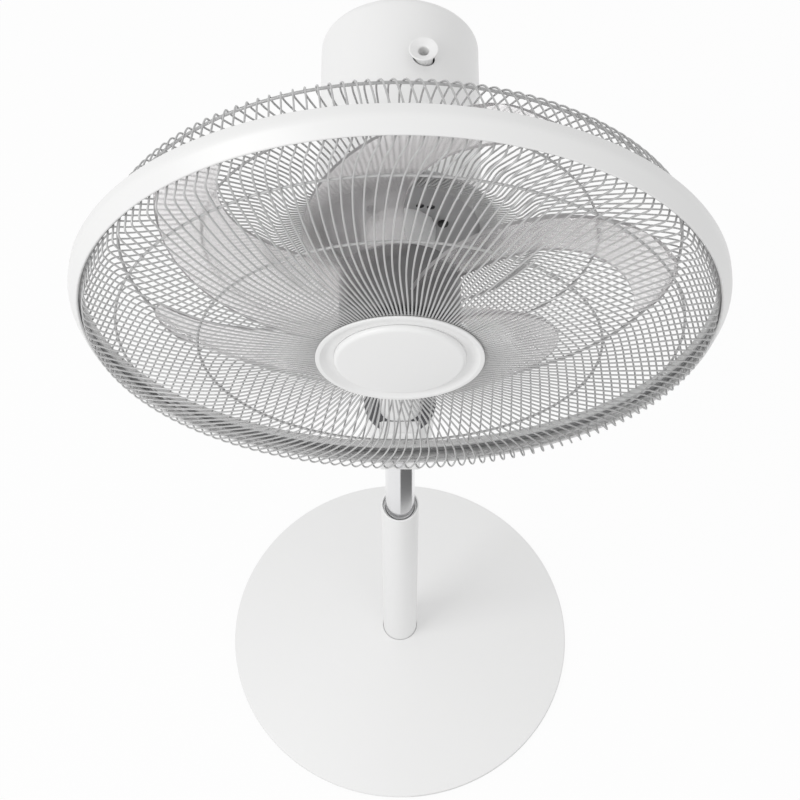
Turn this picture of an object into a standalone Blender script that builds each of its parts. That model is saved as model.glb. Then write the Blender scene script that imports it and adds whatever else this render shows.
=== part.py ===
"""Pedestal fan with a round base, a telescopic pole and a caged five-blade head.

Metres, +Z up. The origin is on the floor under the pole's axis, and the fan
blows towards -Y. Heights are z values, and places along the fan's own
horizontal axis are y values, so the front of the head has the lower y.
"""

import math

import bmesh
import bpy
from mathutils import Matrix, Vector

# Gaps between neighbouring pieces
GAP = 0.0003

# Base
BASE_RADIUS = 0.190
BASE_RIM_HEIGHT = 0.0045
BASE_CONE_HEIGHT = 0.0341
BASE_WALL = 0.0025
FOOT_RADIUS = 0.009
FOOT_HEIGHT = 0.002
FOOT_INSET = 0.022
FOOT_CIRCLE = BASE_RADIUS - FOOT_INSET
FOOT_COUNT = 5
BASE_PLATE_THICKNESS = 0.0018
WEIGHT_INSET = 0.055
WEIGHT_RADIUS = BASE_RADIUS - WEIGHT_INSET
WEIGHT_THICKNESS = 0.0072
BOLT_HEAD_RADIUS = 0.0095
BOLT_RADIUS = 0.004
BOLT_LENGTH = 0.018
BOLT_HEAD_HEIGHT = 0.0022
FLANGE_RADIUS = 0.036
FLANGE_THICKNESS = 0.003
FLANGE_BOSS_HEIGHT = 0.016
FLANGE_BOSS_WALL = 0.003

# Pole
OUTER_TUBE_RADIUS = 0.0186
OUTER_TUBE_WALL = 0.0015
OUTER_TUBE_TOP = 0.366
INNER_TUBE_RADIUS = 0.0142
INNER_TUBE_WALL = 0.0012
INNER_TUBE_BOTTOM = 0.206
INNER_TUBE_TOP = 0.640
BUSH_LENGTH = 0.040
BUSH_RECESS = 0.005
SHOE_LENGTH = 0.020
TUBE_PLUG_HEIGHT = 0.012

# Control pod on the inner tube
POD_BOTTOM = 0.506
POD_TOP = 0.582
POD_RADIUS_BOTTOM = 0.0285
POD_RADIUS_TOP = 0.0320
POD_FILLET = 0.009
POD_WALL = 0.0025
POD_LID_THICKNESS = 0.003
PANEL_WIDTH = 0.036
PANEL_BOTTOM = 0.516
PANEL_FRONT = 0.0345
PANEL_THICKNESS = 0.0030
PANEL_LIP_DEPTH = 0.0142
BUTTON_RADIUS = 0.0046
BUTTON_PROUD = 0.0018
BUTTON_TRAVEL = 0.0015
BUTTON_SPACING = 0.0145
BUTTON_LOWEST = 0.5255
BUTTON_NAMES = ("power_button", "speed_button", "swing_button", "timer_button")
BOARD_WIDTH = 0.036
BOARD_HEIGHT = 0.056
BOARD_THICKNESS = 0.0016
BOARD_FRONT = 0.0205
GLAND_RADIUS = 0.0060
GLAND_LENGTH = 0.016
GLAND_HEIGHT = 0.522

# Neck and tilt hinge
NECK_WIDTH_BOTTOM = 0.036
NECK_DEPTH_BOTTOM = 0.040
NECK_WIDTH_TOP = 0.034
NECK_DEPTH_TOP = 0.034
NECK_CORNER = 0.013
NECK_WALL = 0.003
NECK_SHOULDER = 0.846
TILT_ABOVE_SHOULDER = 0.022
TILT_HEIGHT = NECK_SHOULDER + TILT_ABOVE_SHOULDER
CHEEK_THICKNESS = 0.006
CHEEK_RADIUS = 0.012
TILT_PIN_RADIUS = 0.004
WASHER_RADIUS = 0.009
WASHER_THICKNESS = 0.001
LUG_WIDTH = 0.0158
LUG_RADIUS = 0.0095
PIN_CAP_RADIUS = 0.0075
PIN_CAP_THICKNESS = 0.0025

# Swing pivot under the motor
SWING_DISC_RADIUS = 0.019
SWING_DISC_ABOVE_TILT = 0.016
SWING_DISC_THICKNESS = 0.004
SWING_DISC_BOTTOM = TILT_HEIGHT + SWING_DISC_ABOVE_TILT
SWING_DISC_TOP = SWING_DISC_BOTTOM + SWING_DISC_THICKNESS
SWING_POST_RADIUS = 0.006
SLEEVE_CAP = 0.0069
SLEEVE_WALL = 0.0052
SHROUD_RADIUS = 0.0225
SHROUD_WALL = 0.0022

# Motor and housing, along the fan axis
FAN_ABOVE_DISC = 0.0735
FAN_HEIGHT = SWING_DISC_TOP + FAN_ABOVE_DISC
HOUSING_RADIUS_FRONT = 0.0578
HOUSING_RADIUS_REAR = 0.0576
HOUSING_FRONT = -0.0545
HOUSING_REAR = 0.0992
HOUSING_CROWN = 0.005
HOUSING_FILLET = 0.009
HOUSING_WALL = 0.0025
FRONT_COVER_THICKNESS = 0.0024
MOUNT_PLATE_RADIUS = 0.068
MOUNT_PLATE_THICKNESS = 0.0025
SNOUT_RADIUS = 0.012
SNOUT_FRONT = -0.088
SHOULDER_RADIUS = 0.020
MOTOR_RADIUS = 0.046
SLEEVE_TOP = FAN_HEIGHT - MOTOR_RADIUS - GAP
SWING_POST_TOP = SLEEVE_TOP - SLEEVE_CAP - GAP
MOTOR_FRONT = -0.0495
MOTOR_END_THICKNESS = 0.004
STATOR_LENGTH = 0.045
STATOR_BORE = 0.0262
SHAFT_RADIUS = 0.004
SHAFT_FRONT = -0.153
SHAFT_REAR = 0.030
ROTOR_CORE_LENGTH = 0.039
GEARBOX_WIDTH = 0.046
GEARBOX_HEIGHT = 0.045
GEARBOX_LENGTH = 0.049
CAPACITOR_SIZE = (0.036, 0.018, 0.026)
PLATE_SCREW_CIRCLE = 0.0305
PLATE_SCREW_ANGLES = (80.0, 200.0, 320.0)
SCREW_RADIUS = 0.0018
SCREW_HEAD_RADIUS = 0.0038
SCREW_HEAD_HEIGHT = 0.0022
PLATE_SCREW_LENGTH = 0.0045
HOUSING_SCREW_LENGTH = 0.012

# Swing knob and crank
KNOB_X = 0.0165
KNOB_Y = 0.0454
KNOB_ABOVE_AXIS = 0.0644
KNOB_TOP = FAN_HEIGHT + KNOB_ABOVE_AXIS
KNOB_RADIUS = 0.0104
KNOB_NECK_RADIUS = 0.0066
KNOB_STEM_RADIUS = 0.004
KNOB_STEM_LENGTH = 0.052
KNOB_HOLE_RADIUS = 0.0045
KNOB_HOLE_DEPTH = 0.008
KNOB_TRAVEL = 0.004
HOUSING_KNOB_HOLE = 0.008
CRANK_RADIUS = 0.014
CRANK_THICKNESS = 0.004
CRANK_STEM_RADIUS = 0.003
CRANK_STEM_LENGTH = 0.010
CRANK_PIN_RADIUS = 0.0025
CRANK_PIN_OFFSET = 0.009

# Grilles and guard ring: (radius, y, turn in degrees beyond the wire's own) down each wire
WIRE_COUNT = 26
WIRE_HALF = 0.0012
FRONT_HOOPS = ((0.0545, -0.1642, 0.0), (0.1363, -0.1590, 0.0), (0.1918, -0.1480, 0.0), (0.2156, -0.1338, 2.0))
FRONT_SHOULDERS = ((0.2125, -0.1462, 0.0), (0.2128, -0.1390, 1.0))
FRONT_LEAN = 1.4
FRONT_BOW = -4.5
REAR_HOOPS = ((0.0580, -0.0616, 0.0), (0.1380, -0.0710, 0.0), (0.1950, -0.0815, 0.0), (0.2136, -0.1230, 3.6))
REAR_SHOULDERS = ((0.2020, -0.0855, 1.4), (0.2082, -0.1010, 2.6))
REAR_LEAN = 0.0
REAR_BOW = 0.0
BAND_RADIUS_REAR = 0.2250
BAND_RADIUS_FRONT = 0.2188
BAND_REAR = -0.1197
BAND_FRONT = -0.1380
BAND_WALL = 0.0028
INNER_RING_LENGTH = 0.0055
INNER_RING_WALL = 0.0060

# Centre cap
CAP_RADIUS = 0.0573
CAP_FRONT = -0.1670
CAP_BACK = FRONT_HOOPS[0][1] + WIRE_HALF
CAP_SEAT = FRONT_HOOPS[0][1] - WIRE_HALF - GAP
CAP_SPIGOT_RADIUS = FRONT_HOOPS[0][0] - WIRE_HALF - GAP
CAP_FLOOR = 0.0020
CAP_DISC_RADIUS = 0.0448
CAP_DISC_FRONT = -0.1692
CAP_RIM_WIDTH = 0.0035
CAP_RECESS_WIDTH = 0.0035
CAP_RECESS_DEPTH = 0.0022
CAP_STEP_DEPTH = 0.0016
BACK_PLATE_THICKNESS = 0.0015

# Fan blades: turns in degrees and depths behind the hub's front, as powers of the span's share
BLADE_COUNT = 5
HUB_RADIUS = 0.042
HUB_FRONT = -0.149
HUB_LENGTH = 0.049
HUB_REAR = HUB_FRONT + HUB_LENGTH
HUB_WALL = 0.0030
HUB_BOSS_RADIUS = 0.010
HUB_BOSS_LENGTH = 0.036
BLADE_TIP_RADIUS = 0.1962
LEADING_TIP_INSET = 0.0078
BLADE_THICKNESS = 0.0022
BLADE_CAMBER = 0.006
TIP_ROUND = 0.010
LEADING_TURN = (7.6, -47.5, 102.2, -24.4)
LEADING_DEPTH = (0.0438, 0.0366, -0.0246)
TRAILING_TURN = (-62.2, 49.0, 26.9, 2.0)
TRAILING_DEPTH = (0.0118, 0.0459, 0.0027)
BLADE_SPAN_STEPS = 8
BLADE_CHORD_STEPS = 5
NUT_RADIUS = 0.016
NUT_LENGTH = 0.0062
LOCK_NUT_RADIUS = 0.0250
LOCK_NUT_LENGTH = 0.0337
LOCK_NUT_TAPER = 0.0015
LOCK_NUT_FLANGE = 0.003

# Facets round a full turn
FINE = 44
MEDIUM = 28
COARSE = 18
SMALL = 10


def finish(name, colour, roughness, metallic=0.0):
    """One Principled material with a plain colour."""
    material = bpy.data.materials.new(name)
    material.use_nodes = True
    shader = material.node_tree.nodes["Principled BSDF"]
    shader.inputs["Base Color"].default_value = (*colour, 1.0)
    shader.inputs["Roughness"].default_value = roughness
    shader.inputs["Metallic"].default_value = metallic
    return material


def world_place(obj):
    """World place of an object whose parents are only moved, never turned."""
    place = Vector((0.0, 0.0, 0.0))
    while obj is not None:
        place += obj.location
        obj = obj.parent
    return place


def pivot(name, place, parent=None):
    """An empty on a joint's axis that carries the pieces of one moving body."""
    empty = bpy.data.objects.new(name, None)
    bpy.context.scene.collection.objects.link(empty)
    empty.parent = parent
    empty.location = Vector(place) - world_place(parent)
    return empty


def face_outwards(shape):
    """Point every face of a closed shape away from its inside."""
    bmesh.ops.recalc_face_normals(shape, faces=shape.faces)
    if shape.calc_volume(signed=True) < 0.0:
        bmesh.ops.reverse_faces(shape, faces=shape.faces)


def add_piece(name, shape, material, parent):
    """Make an object from a bmesh in world coordinates, hung on its body's empty."""
    face_outwards(shape)
    shape.transform(Matrix.Translation(-world_place(parent)))
    mesh = bpy.data.meshes.new(name)
    shape.to_mesh(mesh)
    shape.free()
    mesh.materials.append(material)
    mesh.shade_smooth()
    mesh.set_sharp_from_angle(angle=math.radians(35.0))
    obj = bpy.data.objects.new(name, mesh)
    bpy.context.scene.collection.objects.link(obj)
    obj.parent = parent
    return obj


def rounded(corners, steps=2):
    """Outline points from corners given as (a, b) or (a, b, fillet radius)."""
    points = []
    count = len(corners)
    for index, corner in enumerate(corners):
        here = Vector(corner[:2])
        if len(corner) == 2:
            points.append(here)
            continue
        before = (Vector(corners[index - 1][:2]) - here).normalized()
        after = (Vector(corners[(index + 1) % count][:2]) - here).normalized()
        half = before.angle(after) / 2.0
        reach = corner[2] / math.tan(half)
        centre = here + (before + after).normalized() * corner[2] / math.sin(half)
        start = here + before * reach - centre
        sweep = start.angle_signed(here + after * reach - centre)
        for step in range(steps + 1):
            turn = Matrix.Rotation(-sweep * step / steps, 2)
            points.append(centre + turn @ start)
    return points


def turned(corners, segments, along="Z", centre=(0.0, 0.0, 0.0), sweep=math.tau, start=0.0):
    """Solid turned from a closed (radius, height) outline about an axis along Z, Y or X."""
    shape = bmesh.new()
    outline = rounded(corners)
    verts = [shape.verts.new((radius, 0.0, height)) for radius, height in outline]
    edges = []
    for index, vert in enumerate(verts):
        other = verts[(index + 1) % len(verts)]
        if max(vert.co.x, other.co.x) > 1e-7:
            edges.append(shape.edges.new((vert, other)))
    bmesh.ops.rotate(shape, verts=verts, matrix=Matrix.Rotation(start, 3, "Z"))
    whole = math.isclose(sweep, math.tau)
    bmesh.ops.spin(shape, geom=verts + edges, axis=(0.0, 0.0, 1.0), cent=(0.0, 0.0, 0.0),
                   angle=sweep, steps=segments, use_merge=whole)
    bmesh.ops.remove_doubles(shape, verts=shape.verts, dist=1e-6)
    if not whole:
        bmesh.ops.holes_fill(shape, edges=[edge for edge in shape.edges if edge.is_boundary])
    turns = {
        "Z": Matrix.Identity(4),
        "Y": Matrix.Rotation(-math.pi / 2.0, 4, "X"),
        "X": Matrix.Rotation(math.pi / 2.0, 4, "Y"),
    }
    shape.transform(Matrix.Translation(centre) @ turns[along])
    return shape


def on_fan_axis(corners, segments):
    """Solid turned about the fan's horizontal axis from (radius, y) corners."""
    return turned(corners, segments, along="Y", centre=(0.0, 0.0, FAN_HEIGHT))


def rod(radius, low, high, segments, along="Z", centre=(0.0, 0.0, 0.0)):
    """Plain round bar from low to high along an axis."""
    return turned([(0.0, low), (radius, low), (radius, high), (0.0, high)], segments, along, centre)


def block(low, high, bevel=0.0):
    """Box between two corners with its edges rounded by two segments."""
    shape = bmesh.new()
    bmesh.ops.create_cube(shape, size=1.0)
    size = Vector(high) - Vector(low)
    middle = (Vector(high) + Vector(low)) / 2.0
    shape.transform(Matrix.Translation(middle) @ Matrix.Diagonal((*size, 1.0)))
    if bevel:
        bmesh.ops.bevel(shape, geom=shape.edges[:], offset=bevel, segments=2, affect="EDGES",
                        profile=0.5)
    return shape


def loft(sections):
    """Solid through closed loops of equal point counts, with flat ends."""
    shape = bmesh.new()
    rings = [[shape.verts.new(point) for point in section] for section in sections]
    for low, high in zip(rings, rings[1:]):
        for index in range(len(low)):
            after = (index + 1) % len(low)
            shape.faces.new((low[index], low[after], high[after], high[index]))
    shape.faces.new(rings[0])
    shape.faces.new(rings[-1])
    return shape


def combine(obj, tool_shape, operation):
    """Cut a tool from an object, or join it on, and keep the result as its mesh."""
    tool_mesh = bpy.data.meshes.new("tool")
    face_outwards(tool_shape)
    tool_shape.to_mesh(tool_mesh)
    tool_shape.free()
    tool = bpy.data.objects.new("tool", tool_mesh)
    tool.hide_render = True
    tool.display_type = "WIRE"
    bpy.context.scene.collection.objects.link(tool)
    modifier = obj.modifiers.new("combine", "BOOLEAN")
    modifier.operation = operation
    modifier.object = tool
    bpy.context.view_layer.update()
    evaluated = obj.evaluated_get(bpy.context.evaluated_depsgraph_get())
    mesh = bpy.data.meshes.new_from_object(evaluated)
    obj.modifiers.clear()
    obj.data = mesh
    bpy.data.objects.remove(tool)


def cut(obj, tool_shape):
    """Remove a tool's space from an object."""
    combine(obj, tool_shape, "DIFFERENCE")


def join(obj, tool_shape):
    """Add a tool's space to an object."""
    combine(obj, tool_shape, "UNION")


def cone_height(radius):
    """Height of the base cover's outer cone at a radius from the pole."""
    rim_top = FOOT_HEIGHT + BASE_RIM_HEIGHT
    inner = OUTER_TUBE_RADIUS + GAP
    return rim_top + BASE_CONE_HEIGHT * (BASE_RADIUS - radius) / (BASE_RADIUS - inner)


def build_base(white, steel, iron, rubber, root):
    """Cone cover, bottom plate, weight, tube flange, bolt and feet."""
    inner = OUTER_TUBE_RADIUS + GAP
    wall = BASE_WALL
    cover = [
        (BASE_RADIUS, FOOT_HEIGHT),
        (BASE_RADIUS, cone_height(BASE_RADIUS), 0.0018),
        (inner, cone_height(inner)),
        (inner, cone_height(inner) - wall),
        (BASE_RADIUS - wall, cone_height(BASE_RADIUS) - wall),
        (BASE_RADIUS - wall, FOOT_HEIGHT),
    ]
    add_piece("base_cover", turned(cover, FINE), white, root)
    plate_top = FOOT_HEIGHT + BASE_PLATE_THICKNESS
    bolt_hole = BOLT_HEAD_RADIUS + GAP
    plate = [
        (bolt_hole, FOOT_HEIGHT),
        (BASE_RADIUS - wall - GAP, FOOT_HEIGHT),
        (BASE_RADIUS - wall - GAP, plate_top),
        (bolt_hole, plate_top),
    ]
    add_piece("base_plate", turned(plate, FINE), steel, root)
    weight_bottom = plate_top + GAP
    weight_top = weight_bottom + WEIGHT_THICKNESS
    weight = [
        (BOLT_RADIUS + GAP, weight_bottom),
        (WEIGHT_RADIUS, weight_bottom),
        (WEIGHT_RADIUS, weight_top, 0.003),
        (BOLT_RADIUS + GAP, weight_top),
    ]
    add_piece("base_weight", turned(weight, FINE), iron, root)
    flange_bottom = weight_top + GAP
    flange_top = flange_bottom + FLANGE_THICKNESS
    flange = [
        (inner, flange_bottom),
        (FLANGE_RADIUS, flange_bottom),
        (FLANGE_RADIUS, flange_top),
        (inner + FLANGE_BOSS_WALL, flange_top),
        (inner + FLANGE_BOSS_WALL, flange_bottom + FLANGE_BOSS_HEIGHT),
        (inner, flange_bottom + FLANGE_BOSS_HEIGHT),
    ]
    add_piece("tube_flange", turned(flange, MEDIUM), steel, root)
    bolt = [
        (0.0, weight_bottom - GAP - BOLT_HEAD_HEIGHT),
        (BOLT_HEAD_RADIUS, weight_bottom - GAP - BOLT_HEAD_HEIGHT),
        (BOLT_HEAD_RADIUS, weight_bottom - GAP),
        (BOLT_RADIUS, weight_bottom - GAP),
        (BOLT_RADIUS, weight_bottom + BOLT_LENGTH),
        (0.0, weight_bottom + BOLT_LENGTH),
    ]
    add_piece("base_bolt", turned(bolt, SMALL), steel, root)
    for index in range(FOOT_COUNT):
        turn = math.tau * index / FOOT_COUNT + math.pi / 2.0
        place = (FOOT_CIRCLE * math.cos(turn), FOOT_CIRCLE * math.sin(turn), 0.0)
        foot = rod(FOOT_RADIUS, 0.0, FOOT_HEIGHT - GAP, SMALL, centre=place)
        add_piece(f"foot_{index + 1}", foot, rubber, root)
    return flange_bottom


def build_outer_tube(white, steel, bottom, root):
    """Fixed white tube, the plug that its bolt screws into and its guide bush."""
    bore = OUTER_TUBE_RADIUS - OUTER_TUBE_WALL
    tube = [
        (bore, bottom),
        (OUTER_TUBE_RADIUS, bottom),
        (OUTER_TUBE_RADIUS, OUTER_TUBE_TOP, 0.0006),
        (bore, OUTER_TUBE_TOP),
    ]
    add_piece("outer_tube", turned(tube, MEDIUM), white, root)
    plug = [
        (BOLT_RADIUS + GAP, bottom),
        (bore - GAP, bottom),
        (bore - GAP, bottom + TUBE_PLUG_HEIGHT),
        (BOLT_RADIUS + GAP, bottom + TUBE_PLUG_HEIGHT),
    ]
    add_piece("tube_plug", turned(plug, COARSE), steel, root)
    bush_top = OUTER_TUBE_TOP - BUSH_RECESS
    bush = [
        (INNER_TUBE_RADIUS + GAP, bush_top - BUSH_LENGTH),
        (bore - GAP, bush_top - BUSH_LENGTH),
        (bore - GAP, bush_top),
        (INNER_TUBE_RADIUS + GAP, bush_top),
    ]
    add_piece("guide_bush", turned(bush, MEDIUM), white, root)


def build_inner_tube(chrome, plastic, column):
    """Chrome tube that slides in the outer one, with the shoe on its lower end."""
    bore = INNER_TUBE_RADIUS - INNER_TUBE_WALL
    tube = [
        (bore, INNER_TUBE_BOTTOM),
        (INNER_TUBE_RADIUS, INNER_TUBE_BOTTOM),
        (INNER_TUBE_RADIUS, INNER_TUBE_TOP),
        (bore, INNER_TUBE_TOP),
    ]
    add_piece("inner_tube", turned(tube, MEDIUM), chrome, column)
    outside = OUTER_TUBE_RADIUS - OUTER_TUBE_WALL - GAP
    shoe = [
        (INNER_TUBE_RADIUS + GAP, INNER_TUBE_BOTTOM),
        (outside, INNER_TUBE_BOTTOM),
        (outside, INNER_TUBE_BOTTOM + SHOE_LENGTH),
        (INNER_TUBE_RADIUS + GAP, INNER_TUBE_BOTTOM + SHOE_LENGTH),
    ]
    add_piece("tube_shoe", turned(shoe, MEDIUM), plastic, column)


def pod_outline(low, high):
    """Closed (radius, z) outline of the pod's tapered wall with its floor."""
    bore = INNER_TUBE_RADIUS + GAP
    wall = POD_WALL
    return [
        (bore, low),
        (POD_RADIUS_BOTTOM, low, POD_FILLET),
        (POD_RADIUS_TOP, high),
        (POD_RADIUS_TOP - wall, high),
        (POD_RADIUS_BOTTOM - wall, low + wall, POD_FILLET - wall),
        (bore, low + wall),
    ]


def build_pod(white, dark, green, rubber, column):
    """Two half shells, the dark lid, the button panel, its board and the cord gland."""
    side = math.asin(GAP / 2.0 / INNER_TUBE_RADIUS)
    half = math.pi - 2.0 * side
    outline = pod_outline(POD_BOTTOM, POD_TOP)
    front = add_piece("pod_front", turned(outline, COARSE, sweep=half, start=math.pi + side),
                      white, column)
    back = add_piece("pod_back", turned(outline, COARSE, sweep=half, start=side), white, column)
    slot_half = PANEL_WIDTH / 2.0 + GAP
    slot_low = (-slot_half, -PANEL_FRONT - 0.01, PANEL_BOTTOM - GAP)
    cut(front, block(slot_low, (slot_half, -INNER_TUBE_RADIUS - 0.004, POD_TOP + 0.01)))
    gland_hole = rod(GLAND_RADIUS + GAP, 0.016, 0.050, SMALL, "Y", (0.0, 0.0, GLAND_HEIGHT))
    cut(back, gland_hole)

    lid_low = POD_TOP + GAP
    lid_high = lid_low + POD_LID_THICKNESS
    lid = add_piece("pod_lid", turned([
        (INNER_TUBE_RADIUS + GAP, lid_low),
        (POD_RADIUS_TOP, lid_low),
        (POD_RADIUS_TOP, lid_high, 0.0012),
        (INNER_TUBE_RADIUS + GAP, lid_high),
    ], MEDIUM), dark, column)
    lip_back = -PANEL_FRONT + PANEL_LIP_DEPTH
    cut(lid, block((-slot_half, -PANEL_FRONT - 0.01, lid_low - 0.01),
                   (slot_half, lip_back + GAP, lid_high + 0.01)))

    panel_half = PANEL_WIDTH / 2.0
    panel = add_piece("control_panel", block(
        (-panel_half, -PANEL_FRONT, PANEL_BOTTOM),
        (panel_half, -PANEL_FRONT + PANEL_THICKNESS, lid_high + 0.0012), 0.0012), white, column)
    lip_half = panel_half - PANEL_THICKNESS / 2.0
    join(panel, block((-lip_half, -PANEL_FRONT + PANEL_THICKNESS / 2.0, lid_low),
                      (lip_half, lip_back, lid_high)))
    for index, name in enumerate(BUTTON_NAMES):
        height = BUTTON_LOWEST + BUTTON_SPACING * index
        front_y = -PANEL_FRONT - BUTTON_PROUD
        rear_y = -BOARD_FRONT - BUTTON_TRAVEL - GAP
        centre = (0.0, 0.0, height)
        cut(panel, rod(BUTTON_RADIUS + GAP, -PANEL_FRONT - 0.01, -PANEL_FRONT + 0.01, SMALL, "Y",
                       centre))
        cap = turned([
            (0.0, front_y), (BUTTON_RADIUS, front_y, 0.0006),
            (BUTTON_RADIUS, rear_y), (0.0, rear_y),
        ], SMALL, "Y", centre)
        add_piece(name, cap, white, pivot(f"{name}_travel", (0.0, front_y, height), column))

    board_low = (PANEL_BOTTOM + lid_low - BOARD_HEIGHT) / 2.0
    add_piece("control_board", block(
        (-BOARD_WIDTH / 2.0, -BOARD_FRONT, board_low),
        (BOARD_WIDTH / 2.0, -BOARD_FRONT + BOARD_THICKNESS, board_low + BOARD_HEIGHT)), green, column)
    gland_start = POD_RADIUS_BOTTOM - POD_WALL - 0.003
    gland = turned([
        (0.0032, gland_start), (GLAND_RADIUS, gland_start),
        (0.0045, gland_start + GLAND_LENGTH), (0.0032, gland_start + GLAND_LENGTH),
    ], SMALL, "Y", (0.0, 0.0, GLAND_HEIGHT))
    add_piece("cord_gland", gland, rubber, column)
    return lid_high


def rounded_rectangle(width, depth, corner, height):
    """Closed loop of points round a rectangle with arc corners at a height."""
    half_x = width / 2.0
    half_y = depth / 2.0
    corners = [(half_x, -half_y, corner), (half_x, half_y, corner), (-half_x, half_y, corner),
               (-half_x, -half_y, corner)]
    return [(point.x, point.y, height) for point in rounded(corners)]


def cheek(side, inner_x):
    """Fork cheek with a round top that holds one end of the tilt pin."""
    low_x = side * inner_x
    high_x = side * (inner_x + CHEEK_THICKNESS)
    radius = CHEEK_RADIUS
    corners = rounded([
        (-radius, NECK_SHOULDER - 0.004), (radius, NECK_SHOULDER - 0.004),
        (radius, TILT_HEIGHT + radius, radius * 0.999), (-radius, TILT_HEIGHT + radius, radius * 0.999),
    ], 6)
    return loft([[(x, point.x, point.y) for point in corners] for x in sorted((low_x, high_x))])


def build_neck(white, steel, plastic, base_height, column):
    """Hollow column with a fork on top, and the tilt pin with its washers and caps."""
    bottom = base_height + GAP
    neck = add_piece("neck_column", loft([
        rounded_rectangle(NECK_WIDTH_BOTTOM, NECK_DEPTH_BOTTOM, NECK_CORNER, bottom),
        rounded_rectangle(NECK_WIDTH_TOP, NECK_DEPTH_TOP, NECK_CORNER, NECK_SHOULDER),
    ]), white, column)
    wall = 2.0 * NECK_WALL
    cut(neck, loft([
        rounded_rectangle(NECK_WIDTH_BOTTOM - wall, NECK_DEPTH_BOTTOM - wall,
                          NECK_CORNER - NECK_WALL, bottom - 0.005),
        rounded_rectangle(NECK_WIDTH_TOP - wall, NECK_DEPTH_TOP - wall,
                          NECK_CORNER - NECK_WALL, NECK_SHOULDER - 0.005),
    ]))
    inner_x = LUG_WIDTH / 2.0 + WASHER_THICKNESS + 2.0 * GAP
    outer_x = inner_x + CHEEK_THICKNESS
    centre = (0.0, 0.0, TILT_HEIGHT)
    for side in (-1.0, 1.0):
        join(neck, cheek(side, inner_x))
    cut(neck, rod(TILT_PIN_RADIUS + GAP, -0.05, 0.05, SMALL, "X", centre))
    add_piece("tilt_pin", rod(TILT_PIN_RADIUS, -outer_x, outer_x, SMALL, "X", centre), steel, column)
    for side, label in ((-1.0, "left"), (1.0, "right")):
        washer_low = LUG_WIDTH / 2.0 + GAP
        edges = sorted((side * washer_low, side * (washer_low + WASHER_THICKNESS)))
        washer = turned([
            (TILT_PIN_RADIUS + GAP, edges[0]), (WASHER_RADIUS, edges[0]),
            (WASHER_RADIUS, edges[1]), (TILT_PIN_RADIUS + GAP, edges[1]),
        ], SMALL, "X", centre)
        add_piece(f"tilt_washer_{label}", washer, steel, column)
        edges = sorted((side * (outer_x + GAP), side * (outer_x + GAP + PIN_CAP_THICKNESS)))
        add_piece(f"pin_cap_{label}", rod(PIN_CAP_RADIUS, *edges, SMALL, "X", centre), plastic, column)


def build_tilt_bracket(steel, tilt):
    """Lug on the tilt pin that carries the upright swing post."""
    corners = rounded([
        (-LUG_RADIUS, TILT_HEIGHT - LUG_RADIUS, LUG_RADIUS * 0.999),
        (LUG_RADIUS, TILT_HEIGHT - LUG_RADIUS, LUG_RADIUS * 0.999),
        (LUG_RADIUS, SWING_DISC_BOTTOM + 0.001), (-LUG_RADIUS, SWING_DISC_BOTTOM + 0.001),
    ], 6)
    half = LUG_WIDTH / 2.0
    lug = loft([[(x, point.x, point.y) for point in corners] for x in (-half, half)])
    bracket = add_piece("tilt_bracket", lug, steel, tilt)
    join(bracket, turned([
        (0.0, SWING_DISC_BOTTOM), (SWING_DISC_RADIUS, SWING_DISC_BOTTOM),
        (SWING_DISC_RADIUS, SWING_DISC_TOP), (SWING_POST_RADIUS, SWING_DISC_TOP),
        (SWING_POST_RADIUS, SWING_POST_TOP), (0.0, SWING_POST_TOP),
    ], COARSE))
    cut(bracket, rod(TILT_PIN_RADIUS + GAP, -0.05, 0.05, SMALL, "X", (0.0, 0.0, TILT_HEIGHT)))


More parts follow.
